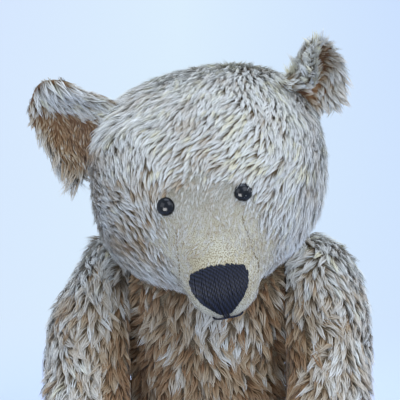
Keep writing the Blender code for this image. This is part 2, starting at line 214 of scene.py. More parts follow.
def meshPoints(piece, field="co"):
    # one row a vertex: its place, or with "normal" the way it faces
    table = np.zeros(len(piece.data.vertices) * 3, np.float32)
    piece.data.vertices.foreach_get(field, table)
    return table.reshape(-1, 3).astype(float)


def liftPoints(piece, floor):
    points = meshPoints(piece)
    points[:, 2] = np.maximum(points[:, 2], floor)
    movePoints(piece, points)


def movePoints(piece, points):
    piece.data.vertices.foreach_set("co", points.astype(np.float32).ravel())
    piece.data.update()


def paint(piece, **fields):
    # stores one number or one direction a vertex under each name
    for name, values in fields.items():
        values = values if np.ndim(values) else np.full(len(piece.data.vertices), values)
        kind, field = ("FLOAT_VECTOR", "vector") if values.ndim == 2 else ("FLOAT", "value")
        attributes = piece.data.attributes
        attribute = attributes.get(name) or attributes.new(name, kind, "POINT")
        attribute.data.foreach_set(field, values.astype(np.float32).ravel())


headForm = {  # millimetres and degrees, in the head's own frame: x across, y back, z up
    "pitch": 18.0, "turn": -6.7, "lean": 14.5, "leanAxisRise": 36.0, "skullHeight": 66.0,
    "core": (0, -20, -8), "skull": (67, 61, 47), "squareness": 2.5,
    "cheeks": (-4, -25, -13), "cheekSize": (58, 49, 45),
    "muzzleRoot": (0, -40, -13), "muzzleTip": (0, -79, -25), "muzzleRadii": (35, 21),
    "neckRadii": (42, 33), "blend": 14,
    "eye": (19.9, -56.0, 17.0), "eyeRadius": 5.4, "eyeDome": 4.2, "eyeSet": -0.1,
    "eyeShank": ((0, -6), (1.0, -6), (1.0, -2.6)),
}
neckFrame = Matrix.Translation(neckPivot) @ Matrix.Rotation(math.radians(headForm["pitch"]), 4, "X")
leanRise = math.radians(headForm["leanAxisRise"])
leanAxis = Vector((0, -math.cos(leanRise), math.sin(leanRise)))
headInNeck = (Matrix.Translation((0, 0, headForm["skullHeight"] * mm))
              @ Matrix.Rotation(math.radians(headForm["lean"]), 4, leanAxis)
              @ Matrix.Rotation(math.radians(headForm["turn"]), 4, "Z"))
headFrame = neckFrame @ headInNeck
skullCentre = headFrame.translation

# degrees, then metres: the eye's height and distance, the frame's width and where its middle lies
view = {"elevation": 18.0, "distance": 1.3, "width": 0.2361, "right": -0.0047, "up": -0.0206}
viewRise = math.radians(view["elevation"])
viewBack = Vector((0, -math.cos(viewRise), math.sin(viewRise)))
viewUp = Vector((0, math.sin(viewRise), math.cos(viewRise)))
camera = addObject("camera", bpy.data.cameras.new("camera"))
aim = skullCentre + Vector((view["right"], 0, 0)) + viewUp * view["up"]
camera.location = aim + viewBack * view["distance"]
camera.rotation_euler = viewBack.to_track_quat("Z", "Y").to_euler()
camera.data.lens = camera.data.sensor_width * view["distance"] / view["width"]
camera.data.clip_end = 30
scene.camera = camera
print("camera set")


# Mohair pile: lustrous goat hair, brown where it is rooted and bleached to silver at its tips; the dark roots
# also stand as painted shade deep in the pile.
# Its map runs across the tints (rust, chest brown, beige, silver, cream) and from root to tip.
pileTints = {
    "root": ("#4c2c0f", "#634726", "#7b6649", "#9c9484", "#958659"),
    "body": ("#714419", "#90744f", "#b0a48e", "#c6c7c1", "#c6bb90"),
    "tip": ("#8d6233", "#b4a183", "#d0ccc1", "#e2e5e2", "#e2dcb6")}
pileMaterial, tree, shader = newMaterial("Mohair pile, kinked and faded", 0.68, Sheen_Weight=0.3,
                                         Specular_IOR_Level=0.3)
strandMap = addNode(tree, "ShaderNodeUVMap", uv_map="OFBake")
place = addNode(tree, "ShaderNodeSeparateXYZ", {0: strandMap})
rootTint, bodyTint, tipTint = (
    addNode(tree, "ShaderNodeValToRGB", {0: place}, list(zip((0.0, 0.25, 0.5, 0.75, 1.0), tints)))
    for tints in pileTints.values())
lowPart, highPart = (
    addNode(tree, "ShaderNodeMapRange", {0: place.outputs[1], 1: start, 2: end})
    for start, end in ((0.06, 0.36), (0.3, 0.68)))
lowMix = addNode(tree, "ShaderNodeMix", {0: lowPart, 6: rootTint, 7: bodyTint}, data_type="RGBA")
highMix = addNode(tree, "ShaderNodeMix", {0: highPart, 6: lowMix, 7: tipTint}, data_type="RGBA")
feed(shader, {"Base Color": highMix})

# Mohair backing: plain-woven cotton, straw coloured where the pile has worn away, and painted brown under the
# pile as shade between the hairs.
# Its threads are 0.5 mm apart, drawn at 0.85 mm so that they show, with painted shade in the spaces between
# them.
threadSpacing = 0.85 * mm
backingMaterial, tree, shader = newMaterial("Mohair backing, woven cotton", 0.85, Sheen_Weight=0.2)
weaveMap = addNode(tree, "ShaderNodeUVMap", uv_map="weave")
bare = addNode(tree, "ShaderNodeAttribute", attribute_name="bare")
objectPlace = addNode(tree, "ShaderNodeTexCoord")
cells = addNode(tree, "ShaderNodeTexVoronoi", {
    "Vector": weaveMap, "Scale": 1.0, "Randomness": 0.8}, voronoi_dimensions="2D")
patches = addNode(tree, "ShaderNodeTexNoise", {
    "Vector": objectPlace.outputs["Object"], "Scale": 1 / (22 * mm), "Detail": 4.0, "Roughness": 0.6})
# painted shade: brown where the pile covers the cloth, so the spaces between the hairs look dark; straw where
# it is worn bare
clothAndPileShade = addNode(tree, "ShaderNodeValToRGB", {0: bare.outputs["Fac"]}, stops=[
    (0.0, "#7c6b50"), (0.5, "#abaca6"), (1.0, "#c8c4b0")])
patchTone = addNode(tree, "ShaderNodeValToRGB", {0: patches}, stops=[(0.35, "#e3dac6"), (0.6, "#fffffc")])
# painted shade: the spaces between the threads are darkened
threadGapShade = addNode(tree, "ShaderNodeMapRange", {0: cells, 1: 0.3, 2: 0.6})
patched = addNode(tree, "ShaderNodeMix", {"Factor": 1.0, 6: clothAndPileShade, 7: patchTone},
                  data_type="RGBA", blend_type="MULTIPLY")
woven = addNode(tree, "ShaderNodeMix", {0: threadGapShade, 6: patched, 7: linear("#aba18c")},
                data_type="RGBA", blend_type="MULTIPLY")
weaveBump = addNode(tree, "ShaderNodeBump", {"Strength": 0.3, "Distance": 0.3 * mm,
                                             "Height": cells}, invert=True)
feed(shader, {"Base Color": woven, "Normal": weaveBump})

# Ear cloth: the same backing, rubbed bare and stained to a rusty brown inside the ear.
earMaterial, tree, shader = newMaterial("Ear cloth, worn rusty brown", 0.9, Sheen_Weight=0.2)
objectPlace = addNode(tree, "ShaderNodeTexCoord")
stains = addNode(tree, "ShaderNodeTexNoise", {
    "Vector": objectPlace.outputs["Object"], "Scale": 1 / (9 * mm), "Detail": 5.0, "Roughness": 0.65})
rust = addNode(tree, "ShaderNodeValToRGB", {0: stains}, stops=[
    (0.3, "#4a2c12"), (0.5, "#65421f"), (0.7, "#7d5a32")])
nap = addNode(tree, "ShaderNodeTexNoise", {
    "Vector": objectPlace.outputs["Object"], "Scale": 1 / (1.2 * mm), "Detail": 2.0})
napBump = addNode(tree, "ShaderNodeBump", {"Strength": 0.5, "Distance": 0.4 * mm, "Height": nap})
feed(shader, {"Base Color": rust, "Normal": napBump})

# Wool felt: matted, without a weave, faded and a little bobbled.
feltMaterial, tree, shader = newMaterial("Wool felt, matted", 0.95, Sheen_Weight=0.3)
objectPlace = addNode(tree, "ShaderNodeTexCoord")
fibres = addNode(tree, "ShaderNodeTexNoise", {
    "Vector": objectPlace.outputs["Object"], "Scale": 1 / (1.5 * mm), "Detail": 6.0, "Roughness": 0.75})
fading = addNode(tree, "ShaderNodeTexNoise", {
    "Vector": objectPlace.outputs["Object"], "Scale": 1 / (18 * mm), "Detail": 3.0})
feltTone = addNode(tree, "ShaderNodeValToRGB", {0: fading}, stops=[
    (0.3, "#8f7a5c"), (0.5, "#a8936f"), (0.7, "#b8a684")])
feltFleck = addNode(tree, "ShaderNodeMix", {
    0: fibres, 6: linear("#7f6c50"), 7: feltTone}, data_type="RGBA")
feltBump = addNode(tree, "ShaderNodeBump", {"Strength": 0.6, "Distance": 0.3 * mm, "Height": fibres})
feed(shader, {"Base Color": feltFleck, "Normal": feltBump})


def patterned(name, roughness, pattern, stops, bump=(), gloss=(), **values):
    # a finish whose colour, and relief or gloss, follow one pattern: kind, size in mm, inputs and settings
    kind, size, inputs, settings = pattern
    material, tree, shader = newMaterial(name, roughness, **values)
    objectPlace = addNode(tree, "ShaderNodeTexCoord")
    grain = addNode(tree, kind, {"Vector": objectPlace.outputs["Object"], "Scale": 1 / (size * mm), **inputs},
                    **settings)
    tone = addNode(tree, "ShaderNodeValToRGB", {0: grain}, stops)
    feed(shader, {"Base Color": tone})
    if bump:  # strength, and depth in mm
        relief = addNode(tree, "ShaderNodeBump", {"Strength": bump[0], "Distance": bump[1] * mm,
                                                  "Height": grain})
        feed(shader, {"Normal": relief})
    if gloss:  # the pattern's range and the roughness at its ends
        shine = addNode(tree, "ShaderNodeMapRange", {0: grain, **dict(enumerate(gloss, 1))})
        feed(shader, {"Roughness": shine})
    return material


# Boot button: moulded and polished shoe button, almost black, with fine handling scratches.
buttonMaterial = patterned(
    "Boot button, polished black", 0.2, ("ShaderNodeTexNoise", 3, {"Detail": 5.0}, {}),
    [(0.35, "#030408"), (0.7, "#080a12")], gloss=(0.4, 0.7, 0.08, 0.22), Specular_IOR_Level=0.32)
# Black silk thread: spun and twisted, so each stitch has a fine slanting twist; its colour is banded lighter
# and bluish along the twist as a painted sheen.
threadMaterial = patterned(
    "Silk thread, spun black", 0.5,
    ("ShaderNodeTexWave", 5, {"Distortion": 2.0, "Detail": 2.0}, {"bands_direction": "DIAGONAL"}),
    [(0.2, "#0a0c13"), (0.8, "#222739")], bump=(0.3, 0.1), Specular_IOR_Level=0.22)
# Seam thread: waxed linen, dull and brown with age.
seamMaterial = patterned(
    "Linen thread, waxed", 0.8, ("ShaderNodeTexNoise", 4, {}, {}), [(0.3, "#5f5137"), (0.7, "#8f8160")])
# Wood wool: pale spruce shavings, planed thin and curled.
woolMaterial = patterned(
    "Wood wool, curled shavings", 0.85,
    ("ShaderNodeTexWave", 16, {"Distortion": 14.0, "Detail": 3.0, "Detail Scale": 2.0}, {}),
    [(0.1, "#8a6c3c"), (0.5, "#c0a468"), (0.9, "#ddc891")], bump=(0.9, 1.0))
# Grey card: pressed pulp, with a fine flat grain.
cardMaterial = patterned(
    "Grey card, pressed", 0.85, ("ShaderNodeTexNoise", 0.8, {"Detail": 6.0, "Roughness": 0.8}, {}),
    [(0.3, "#7d6f58"), (0.7, "#9c8f78")], bump=(0.2, 0.1))
# Steel: drawn for the pins and stamped for the washers, dulled in patches.
steelMaterial = patterned(
    "Steel, drawn", 0.35, ("ShaderNodeTexNoise", 0.7, {"Detail": 4.0}, {}),
    [(0.3, "#8f8a83"), (0.7, "#b8b4ac")], gloss=(0.0, 1.0, 0.25, 0.5), Metallic=1.0)
print("materials made")


def newTree(name, output, *inputs):
    # a geometry tree with named inputs, the identifiers of these and the outputs of its input node
    tree = bpy.data.node_groups.new(name, "GeometryNodeTree")
    identifiers = {}
    for label, kind, *given in inputs:
        socket = tree.interface.new_socket(label, in_out="INPUT", socket_type="NodeSocket" + kind)
        if given:
            socket.default_value = given[0]
        identifiers[label] = socket.identifier
    tree.interface.new_socket(output, in_out="OUTPUT", socket_type="NodeSocketGeometry")
    return tree, identifiers, addNode(tree, "NodeGroupInput").outputs


def runTree(piece, name, tree, identifiers, values):
    # gives the piece the tree with these inputs, takes the result as a plain mesh and removes the modifier
    modifier = piece.modifiers.new(tree.name, "NODES")
    modifier.node_group = tree
    for label, value in values.items():
        modifier[identifiers[label]] = value
    mesh = asMesh(piece)
    mesh.name = name
    piece.modifiers.remove(modifier)
    return mesh


pileTree, pileInputs, given = newTree(
    "Pile", "Pile", ("Cloth", "Geometry"), ("Locks", "Collection"), ("Finish", "Material"),
    ("Spacing", "Float", 0.0025), ("Yaw", "Float", 0.25), ("Pitch", "Float", 0.12), ("Variants", "Int", 4),
    ("Tint spread", "Float", 0.4), ("Seed", "Int", 1))
cover, comb, height, tint, oddAgain, strandPlace = (
    addNode(pileTree, "GeometryNodeInputNamedAttribute", {"Name": name}, data_type=kind)
    for name, kind in (("cover", "FLOAT"), ("comb", "FLOAT_VECTOR"), ("pile", "FLOAT"), ("tint", "FLOAT"),
                       ("odd", "FLOAT"), ("strand", "FLOAT_VECTOR")))
roots = addNode(pileTree, "GeometryNodeDistributePointsOnFaces", {
    "Mesh": given["Cloth"], "Distance Min": given["Spacing"], "Density Max": 400000.0,
    "Density Factor": cover, "Seed": given["Seed"]}, distribute_method="POISSON")
standing = addNode(pileTree, "FunctionNodeAlignRotationToVector", {
    "Vector": roots.outputs["Normal"]}, axis="Z")
combed = addNode(pileTree, "FunctionNodeAlignRotationToVector", {
    "Rotation": standing, "Vector": comb}, axis="X", pivot_axis="Z")
yawLow, pitchLow = (addNode(pileTree, "ShaderNodeMath", {0: given[name], 1: -1.0}, operation="MULTIPLY")
                    for name in ("Yaw", "Pitch"))
low = addNode(pileTree, "ShaderNodeCombineXYZ", {0: yawLow, 1: pitchLow, 2: yawLow})
high = addNode(pileTree, "ShaderNodeCombineXYZ", {0: given["Yaw"], 1: given["Pitch"], 2: given["Yaw"]})
sway = addNode(pileTree, "FunctionNodeRandomValue", {"Min": low, "Max": high,
                                                     "Seed": given["Seed"]}, data_type="FLOAT_VECTOR")
swayTurn = addNode(pileTree, "FunctionNodeEulerToRotation", {0: sway})
swayed = addNode(pileTree, "FunctionNodeRotateRotation", {0: combed, 1: swayTurn}, rotation_space="LOCAL")
unevenness = addNode(pileTree, "FunctionNodeRandomValue", {2: 0.8, 3: 1.15, "Seed": 7}, data_type="FLOAT")
size = addNode(pileTree, "ShaderNodeMath", {0: height, 1: unevenness}, operation="MULTIPLY")
lastVariant = addNode(pileTree, "ShaderNodeMath", {0: given["Variants"], 1: 1.0}, operation="SUBTRACT")
variant = addNode(pileTree, "FunctionNodeRandomValue", {4: 0, 5: lastVariant, "Seed": 11},
                  data_type="INT")
locks = addNode(pileTree, "GeometryNodeCollectionInfo", {
    "Collection": given["Locks"], "Separate Children": True, "Reset Children": True})
planted = addNode(pileTree, "GeometryNodeInstanceOnPoints", {
    "Points": roots, "Instance": locks, "Pick Instance": True,
    "Instance Index": variant, "Rotation": swayed, "Scale": size})
odd = addNode(pileTree, "FunctionNodeRandomValue", {2: -1.0, 3: 1.0, "Seed": 23}, data_type="FLOAT")
oddCube = addNode(pileTree, "ShaderNodeMath", {0: odd, 1: 3.0}, operation="POWER")
oddShift = addNode(pileTree, "ShaderNodeMath", {0: oddCube, 1: given["Tint spread"]},
                   operation="MULTIPLY")
oddStored = addNode(pileTree, "GeometryNodeStoreNamedAttribute", {
    "Geometry": planted, "Name": "odd", "Value": oddShift}, data_type="FLOAT",
    domain="INSTANCE")
grown = addNode(pileTree, "GeometryNodeRealizeInstances", {0: oddStored})
strandParts = addNode(pileTree, "ShaderNodeSeparateXYZ", {0: strandPlace})
tinted = addNode(pileTree, "ShaderNodeMath", {0: tint, 1: oddAgain}, operation="ADD", use_clamp=True)
across = addNode(pileTree, "ShaderNodeMath", {0: tinted, 1: 0.8, 2: strandParts},
                 operation="MULTIPLY_ADD")
bakePlace = addNode(pileTree, "ShaderNodeCombineXYZ", {0: across, 1: strandParts.outputs[1]})
mapped = addNode(pileTree, "GeometryNodeStoreNamedAttribute", {
    "Geometry": grown, "Name": "OFBake", "Value": bakePlace}, data_type="FLOAT2",
    domain="CORNER")
finished = addNode(pileTree, "GeometryNodeSetMaterial", {"Geometry": mapped, "Material": given["Finish"]})
addNode(pileTree, "NodeGroupOutput", {0: finished})


# What every kind of lock shares: lengths in mm, turns in radians, and between which shares of its
# length, lift and wave each hair is drawn.
lockStyle = {
    "steps": 2, "variants": 5, "yaw": 0.3, "pitch": 0.1, "tintSpread": 0.4, "lengths": (0.75, 1.1),
    "lifts": (0.85, 1.15), "waves": (0.5, 1.2), "drops": (-0.35, 0.3), "rolls": (-0.4, 0.4)}
sunk = 0.3  # how far a lock's root lies below the cloth, in mm


def makeLocks(name, style):
    # a few tufts of hair lying along +X, each of flat tapered strands that draw together at their tips
    collection = bpy.data.collections.new(name)
    scene.collection.children.link(collection)
    last = style["steps"]
    shares = np.linspace(0, 1, last + 1)
    taper = np.interp(shares, [0, 0.2, 0.6, 1], [0.8, 1, 0.95, 0])
    for variant in range(style["variants"]):
        verts, faces, strand = [], [], []
        bend = randoms.uniform(-1, 1) * style["bend"]
        for index in range(style["strands"]):
            turn, reach = randoms.uniform(0, math.tau), style["spread"] * math.sqrt(randoms.uniform())
            rootX, rootY = reach * math.cos(turn), reach * math.sin(turn)
            upper = index / max(style["strands"] - 1, 1)
            length = style["length"] * randoms.uniform(*style["lengths"])
            lift = style["lift"] * (0.45 + 0.6 * upper) * randoms.uniform(*style["lifts"])
            wave, phase = style["wave"] * randoms.uniform(*style["waves"]), randoms.uniform(0, 1)
            drop = randoms.uniform(*style["drops"])
            gather = 1 - style["clump"] * shares
            swing = np.sin(math.tau * (style["kinks"] * shares + phase)) - math.sin(math.tau * phase)
            x = rootX * gather + length * shares * (1 - 0.08 * shares)
            y = rootY * gather + wave * swing * shares ** 0.6 + bend * shares ** 2
            z = lift * (np.sin(np.minimum(shares * 1.5, 1) * math.pi / 2) + drop * shares ** 2) - sunk
            centre = np.stack([x, y, z], 1)
            along = unit(np.gradient(centre, axis=0))
            aside = unit(np.cross(np.array([0, 0, 1.0]), along))
            above = np.cross(along, aside)
            roll = randoms.uniform(*style["rolls"])
            wide = (aside * math.cos(roll) + above * math.sin(roll)) * (taper * style["width"] / 2)[:, None]
            # a narrow strip of the map for each hair, and more of its tip's tints for the upper ones, so the
            # lower hairs stay browner, partly as painted shade beneath the upper ones
            shade, reachUp = randoms.uniform(0.01, 0.12), 0.62 + 0.36 * upper
            base = len(verts)
            for step in range(last):
                up = 0.01 + shares[step] * reachUp
                verts += [(centre[step] - wide[step]) * mm, (centre[step] + wide[step]) * mm]
                strand += [(shade, up, 0), (shade + 0.08, up, 0)]
            verts.append(centre[last] * mm)
            strand.append((shade + 0.04, 0.01 + reachUp, 0))
            for step in range(last - 1):
                corner = base + step * 2
                faces.append((corner, corner + 2, corner + 3, corner + 1))
            faces.append((base + last * 2 - 2, base + last * 2, base + last * 2 - 1))
        lock = newPiece(f"{name}_{variant}", verts, faces, [])
        paint(lock, strand=np.array(strand))
        scene.collection.objects.unlink(lock)
        collection.objects.link(lock)
    return collection


def growPile(name, cloth, style, seed, **fields):
    # plants the locks on the cloth by its cover, comb, pile and tint, and turns them into a plain mesh
    paint(cloth, **fields)
    collection = makeLocks(name + "_lock", style)
    mesh = runTree(cloth, name, pileTree, pileInputs, {
        "Locks": collection, "Finish": pileMaterial, "Spacing": style["spacing"] * mm, "Seed": seed,
        "Yaw": style["yaw"], "Pitch": style["pitch"], "Variants": style["variants"],
        "Tint spread": style["tintSpread"]})
    for lock in list(collection.objects):
        bpy.data.objects.remove(lock)
    bpy.data.collections.remove(collection)
    for attribute in ("cover", "comb", "pile", "tint", "odd", "strand", "bare"):
        if attribute in mesh.attributes:
            mesh.attributes.remove(mesh.attributes[attribute])
    print(name, "triangles", sum(len(face.vertices) - 2 for face in mesh.polygons))
    return addObject(name, mesh)


stitchTree, stitchInputs, given = newTree(
    "Stitches", "Thread", ("Paths", "Geometry"), ("Finish", "Material"), ("Thread radius", "Float", 0.0005),
    ("Sides", "Int", 6))
paths = addNode(stitchTree, "GeometryNodeMeshToCurve", {"Mesh": given["Paths"]})
ring = addNode(stitchTree, "GeometryNodeCurvePrimitiveCircle", {"Resolution": given["Sides"],
                                                                "Radius": given["Thread radius"]})
swept = addNode(stitchTree, "GeometryNodeCurveToMesh", {
    "Curve": paths, "Profile Curve": ring, "Fill Caps": True})
plain = addNode(stitchTree, "GeometryNodeRealizeInstances", {0: swept})
threaded = addNode(stitchTree, "GeometryNodeSetMaterial", {
    "Geometry": plain, "Material": given["Finish"]})
addNode(stitchTree, "NodeGroupOutput", {0: threaded})


def sew(name, lines, radius, material, sides=6):
    # lines are rows of points; each becomes one length of thread
    verts, edges = [], []
    for line in lines:
        base = len(verts)
        verts += [tuple(point) for point in line]
        edges += [(base + i, base + i + 1) for i in range(len(line) - 1)]
    mesh = bpy.data.meshes.new(name)
    mesh.from_pydata(verts, edges, [])
    path = addObject(name + "_path", mesh)
    made = runTree(path, name, stitchTree, stitchInputs, {
        "Finish": material, "Thread radius": radius * mm, "Sides": sides})
    bpy.data.objects.remove(path)
    made.shade_smooth()
    piece = addObject(name, made)
    turnOutwards(piece)
    return piece


def inMetres(key):
    return np.array(headForm[key], float) * mm


def blended(first, second, width):
    overlap = np.maximum(width - np.abs(first - second), 0) / width
    return np.minimum(first, second) - overlap * overlap * width / 4


def ellipsoidField(points, centre, sizes):
    scaled = (points - centre) / sizes
    steep = np.maximum(lengths(scaled / sizes), 1e-6)
    far = lengths(scaled)
    return far * (far - 1) / steep


def coneField(points, start, end, startRadius, endRadius):
    axis = end - start
    share = np.clip((points - start) @ axis / (axis @ axis), 0, 1)
    away = lengths(points - start - share[:, None] * axis)
    return away - startRadius - (endRadius - startRadius) * share


neckInHead = np.array(headInNeck.inverted() @ Vector((0, 0, 0.004)))


def headField(points):
    blend = headForm["blend"] * mm
    skullSize = inMetres("skull")
    total = np.sum(np.abs(points / skullSize) ** headForm["squareness"], axis=1)
    skull = (total ** (1 / headForm["squareness"]) - 1) * skullSize.min()
    cheeks = ellipsoidField(points, inMetres("cheeks"), inMetres("cheekSize"))
    muzzle = coneField(points, inMetres("muzzleRoot"), inMetres("muzzleTip"), *inMetres("muzzleRadii"))
    neck = coneField(points, neckInHead * 0.5, neckInHead, *inMetres("neckRadii"))
    return blended(blended(blended(skull, cheeks, blend), muzzle, blend), neck, blend)


def headDirections(turns, asides):
    turns, asides = np.radians(turns), np.radians(asides)
    return np.stack([np.sin(asides), -np.cos(asides) * np.cos(turns), np.cos(asides) * np.sin(turns)], -1)


def onHead(directions):
    core = inMetres("core")
    near, far = np.full(len(directions), 20 * mm), np.full(len(directions), 130 * mm)
    for halving in range(24):
        middle = (near + far) / 2
        outside = headField(core + directions * middle[:, None]) > 0
        far = np.where(outside, middle, far)
        near = np.where(outside, near, middle)
    return core + directions * near[:, None]


def headNormals(points):
    reach = 0.5 * mm
    slopes = [headField(points + axis * reach) - headField(points - axis * reach) for axis in np.eye(3)]
    return unit(np.stack(slopes, -1))


def headPoints(turns, asides, lift=0.0):
    # places on the head's cloth, in the shared frame, lifted off it by some millimetres
    surface = onHead(headDirections(np.asarray(turns, float), np.asarray(asides, float)))
    lifts = np.broadcast_to(np.asarray(lift) * mm, len(surface))
    return moved(headFrame, surface + headNormals(surface) * lifts[:, None])


def through(stations, steps):
    # a smooth curve through stations, read at fractional indices
    stations, steps = np.asarray(stations, float), np.asarray(steps, float)
    last = len(stations) - 1
    index = np.minimum(steps.astype(int), last - 1)
    part = (steps - index)[:, None]
    before, start, end, after = [stations[np.clip(index + k, 0, last)] for k in (-1, 0, 1, 2)]
    rise = part * part * (3 - 2 * part)
    return (start + (end - start) * rise + (end - before) / 2 * part * (1 - part) ** 2
            - (after - start) / 2 * part * part * (1 - part))


def closedSkin(name, rows, materials):
    # rows of rings into one closed skin, its two ends drawn to a point
    rings, around = rows.shape[:2]
    verts = np.concatenate([rows.reshape(-1, 3), rows[:1].mean(1), rows[-1:].mean(1)])
    faces = []
    for ring in range(rings - 1):
        for i in range(around):
            j = (i + 1) % around
            low, high = ring * around, (ring + 1) * around
            faces.append((low + i, low + j, high + j, high + i))
    for i in range(around):
        j = (i + 1) % around
        faces.append((rings * around, j, i))
        faces.append((rings * around + 1, (rings - 1) * around + i, (rings - 1) * around + j))
    piece = newPiece(name, verts, faces, materials)
    turnOutwards(piece)
    return piece


def sheetFaces(high, wide):
    # the faces of a closed sheet: those of its outer and its inner grid by turns, then those of its rim
    count = high * wide
    faces = []
    for i in range(high - 1):
        for j in range(wide - 1):
            a, b, c, d = i * wide + j, i * wide + j + 1, (i + 1) * wide + j + 1, (i + 1) * wide + j
            faces += [(a, b, c, d), (count + d, count + c, count + b, count + a)]
    rim = ([(0, j) for j in range(wide)] + [(i, wide - 1) for i in range(1, high)]
           + [(high - 1, j) for j in range(wide - 2, -1, -1)] + [(i, 0) for i in range(high - 2, 0, -1)])
    ring = [i * wide + j for i, j in rim]
    return faces + [(one, two, count + two, count + one) for one, two in zip(ring, ring[1:] + ring[:1])]


def padPatch(name, grid, inner, material):
    # a closed patch between an outer and an inner grid of points
    verts = np.concatenate([grid.reshape(-1, 3), inner.reshape(-1, 3)])
    patch = newPiece(name, verts, sheetFaces(*grid.shape[:2]), [material])
    turnOutwards(patch)
    return patch


softForm = {"voxel": 5.5, "pressure": 4.0, "frames": 20, "most": 2.0, "neighbours": 6}  # lengths in mm


def softened(piece, pinned):
    # the stuffed cloth puffs out between its pinned seams and joints; gives back where its points lie then
    points = meshPoints(piece)
    coarse = addObject(piece.name + "_coarse", piece.data.copy())
    remesh = coarse.modifiers.new("Remesh", "REMESH")
    remesh.mode, remesh.voxel_size = "VOXEL", softForm["voxel"] * mm
    remeshed = asMesh(coarse)
    coarse.modifiers.clear()
    coarse.data = remeshed
    before = meshPoints(coarse)
    near = searchTree(points)
    held = coarse.vertex_groups.new(name="held")
    held.add([index for index, point in enumerate(before) if pinned[near.find(point)[1]]], 1.0, "REPLACE")
    cloth = coarse.modifiers.new("Cloth", "CLOTH")
    cloth.settings.vertex_group_mass = "held"
    cloth.settings.use_pressure = True
    cloth.settings.uniform_pressure_force = softForm["pressure"]
    cloth.settings.effector_weights.gravity = 0
    cloth.point_cache.frame_start, cloth.point_cache.frame_end = 1, softForm["frames"]
    for index in range(1, softForm["frames"] + 1):
        scene.frame_set(index)
    settled = asMesh(coarse)
    coarse.modifiers.clear()
    coarse.data = settled
    shift = meshPoints(coarse) - before
    far = np.linalg.norm(shift, axis=1, keepdims=True)
    shift *= np.minimum(1, softForm["most"] * mm / np.maximum(far, 1e-9))
    scene.frame_set(1)
    bpy.data.objects.remove(coarse)
    spread = searchTree(before)
    for index, point in enumerate(points.copy()):
        found = spread.find_n(point, softForm["neighbours"])
        weights = np.array([1 / (away + 1 * mm) ** 2 for _, _, away in found])
        points[index] += weights @ shift[[which for _, which, _ in found]] / weights.sum()
    print(piece.name, "settled by up to", round(float(far.max()) / mm, 1), "mm")
    return points


def weaveFrom(piece, flat):
    # a map in thread spacings from two flat coordinates for each vertex, in metres
    layer = piece.data.uv_layers.new(name="weave")
    corners = np.zeros(len(piece.data.loops), np.int32)
    piece.data.loops.foreach_get("vertex_index", corners)
    layer.data.foreach_set("uv", (flat[corners] / threadSpacing).astype(np.float32).ravel())


def onCloth(directions, normals):
    # the part of each direction that lies in the cloth
    return unit(directions - normals * np.sum(directions * normals, axis=1, keepdims=True))


def turned(directions, normals, angles):
    # directions turned in the cloth by angles, in radians
    sideways = np.cross(normals, directions)
    return directions * np.cos(angles)[:, None] + sideways * np.sin(angles)[:, None]


jointNap = {  # short pile lying flat where the moving parts meet
    **lockStyle, "spacing": 2.3, "strands": 4, "variants": 4, "length": 7.0, "lift": 0.75, "width": 0.9,
    "spread": 1.8, "clump": 0.5, "wave": 0.4, "kinks": 0.7, "bend": 1.2, "yaw": 0.12, "pitch": 0.0}

# The gusset: how far round the head from the muzzle and how wide to each side, in degrees
gussetOutline = [
    (-24, 1.5), (-21, 9), (-17, 17), (-11, 21.5), (-2, 21), (18, 20.5), (34, 26.5), (70, 32), (110, 33),
    (160, 24), (200, 11), (226, 1.5)]

# How the pile lies, as seen from the front: across and up from the skull's middle in mm, then the
# way it is combed, in degrees anticlockwise from the bear's left.
headCombs = [
    (-46, 44, 205), (-25, 47, 208), (-13, 41, 228), (-5, 33, 238), (-34, 32, 222), (-52, 32, 216),
    (-64, 24, 215), (-58, 15, 238), (-55, 6, 292), (-58, 0, 314), (-49, -6, 308), (-67, -6, 322),
    (-46, 9, 262), (-40, 3, 274), (-34, -9, 270), (-37, -15, 290), (-25, 9, 230), (-16, 3, 230),
    (-22, -12, 236), (-5, -9, 243), (-2, -18, 250), (4, 50, 225), (10, 41, 236), (1, 27, 235),
    (16, 32, 240), (22, 38, 252), (25, 53, 265), (25, 57, 275), (32, 49, 295), (40, 47, 318),
    (45, 44, 322), (30, 38, 285), (32, 30, 275), (37, 27, 256), (48, 39, 200), (38, 34, 265),
    (48, 29, 2), (25, 21, 228), (37, 18, 236), (45, 15, 250), (51, 21, 272), (54, 27, 300),
    (60, 24, 230), (66, 15, 254), (65, 3, 262), (67, -9, 265), (19, 9, 226), (10, 3, 226),
    (31, 3, 228), (42, 3, 237), (54, 0, 250), (31, -15, 240), (42, -15, 237), (54, -15, 250),
    (63, -18, 256), (40, -30, 238), (48, -30, 246), (57, -30, 250), (42, -41, 246), (51, -44, 250),
    (45, -53, 254), (40, -59, 256), (34, -65, 258), (32, -47, 268), (35, -35, 262),
    (-67, -15, 330), (-61, -21, 320), (-55, -24, 320), (-49, -30, 318), (-40, -32, 320),
    (-34, -41, 311), (-58, -35, 320), (-52, -41, 320), (-43, -47, 325), (-34, -50, 313),
    (-28, -62, 320), (-37, -62, 329), (-25, -71, 325), (-46, -56, 326), (-25, -44, 285),
    (-22, -53, 290), (-25, -35, 300), (-5, -30, 255), (-8, -44, 236), (4, -60, 250), (18, -40, 262)]
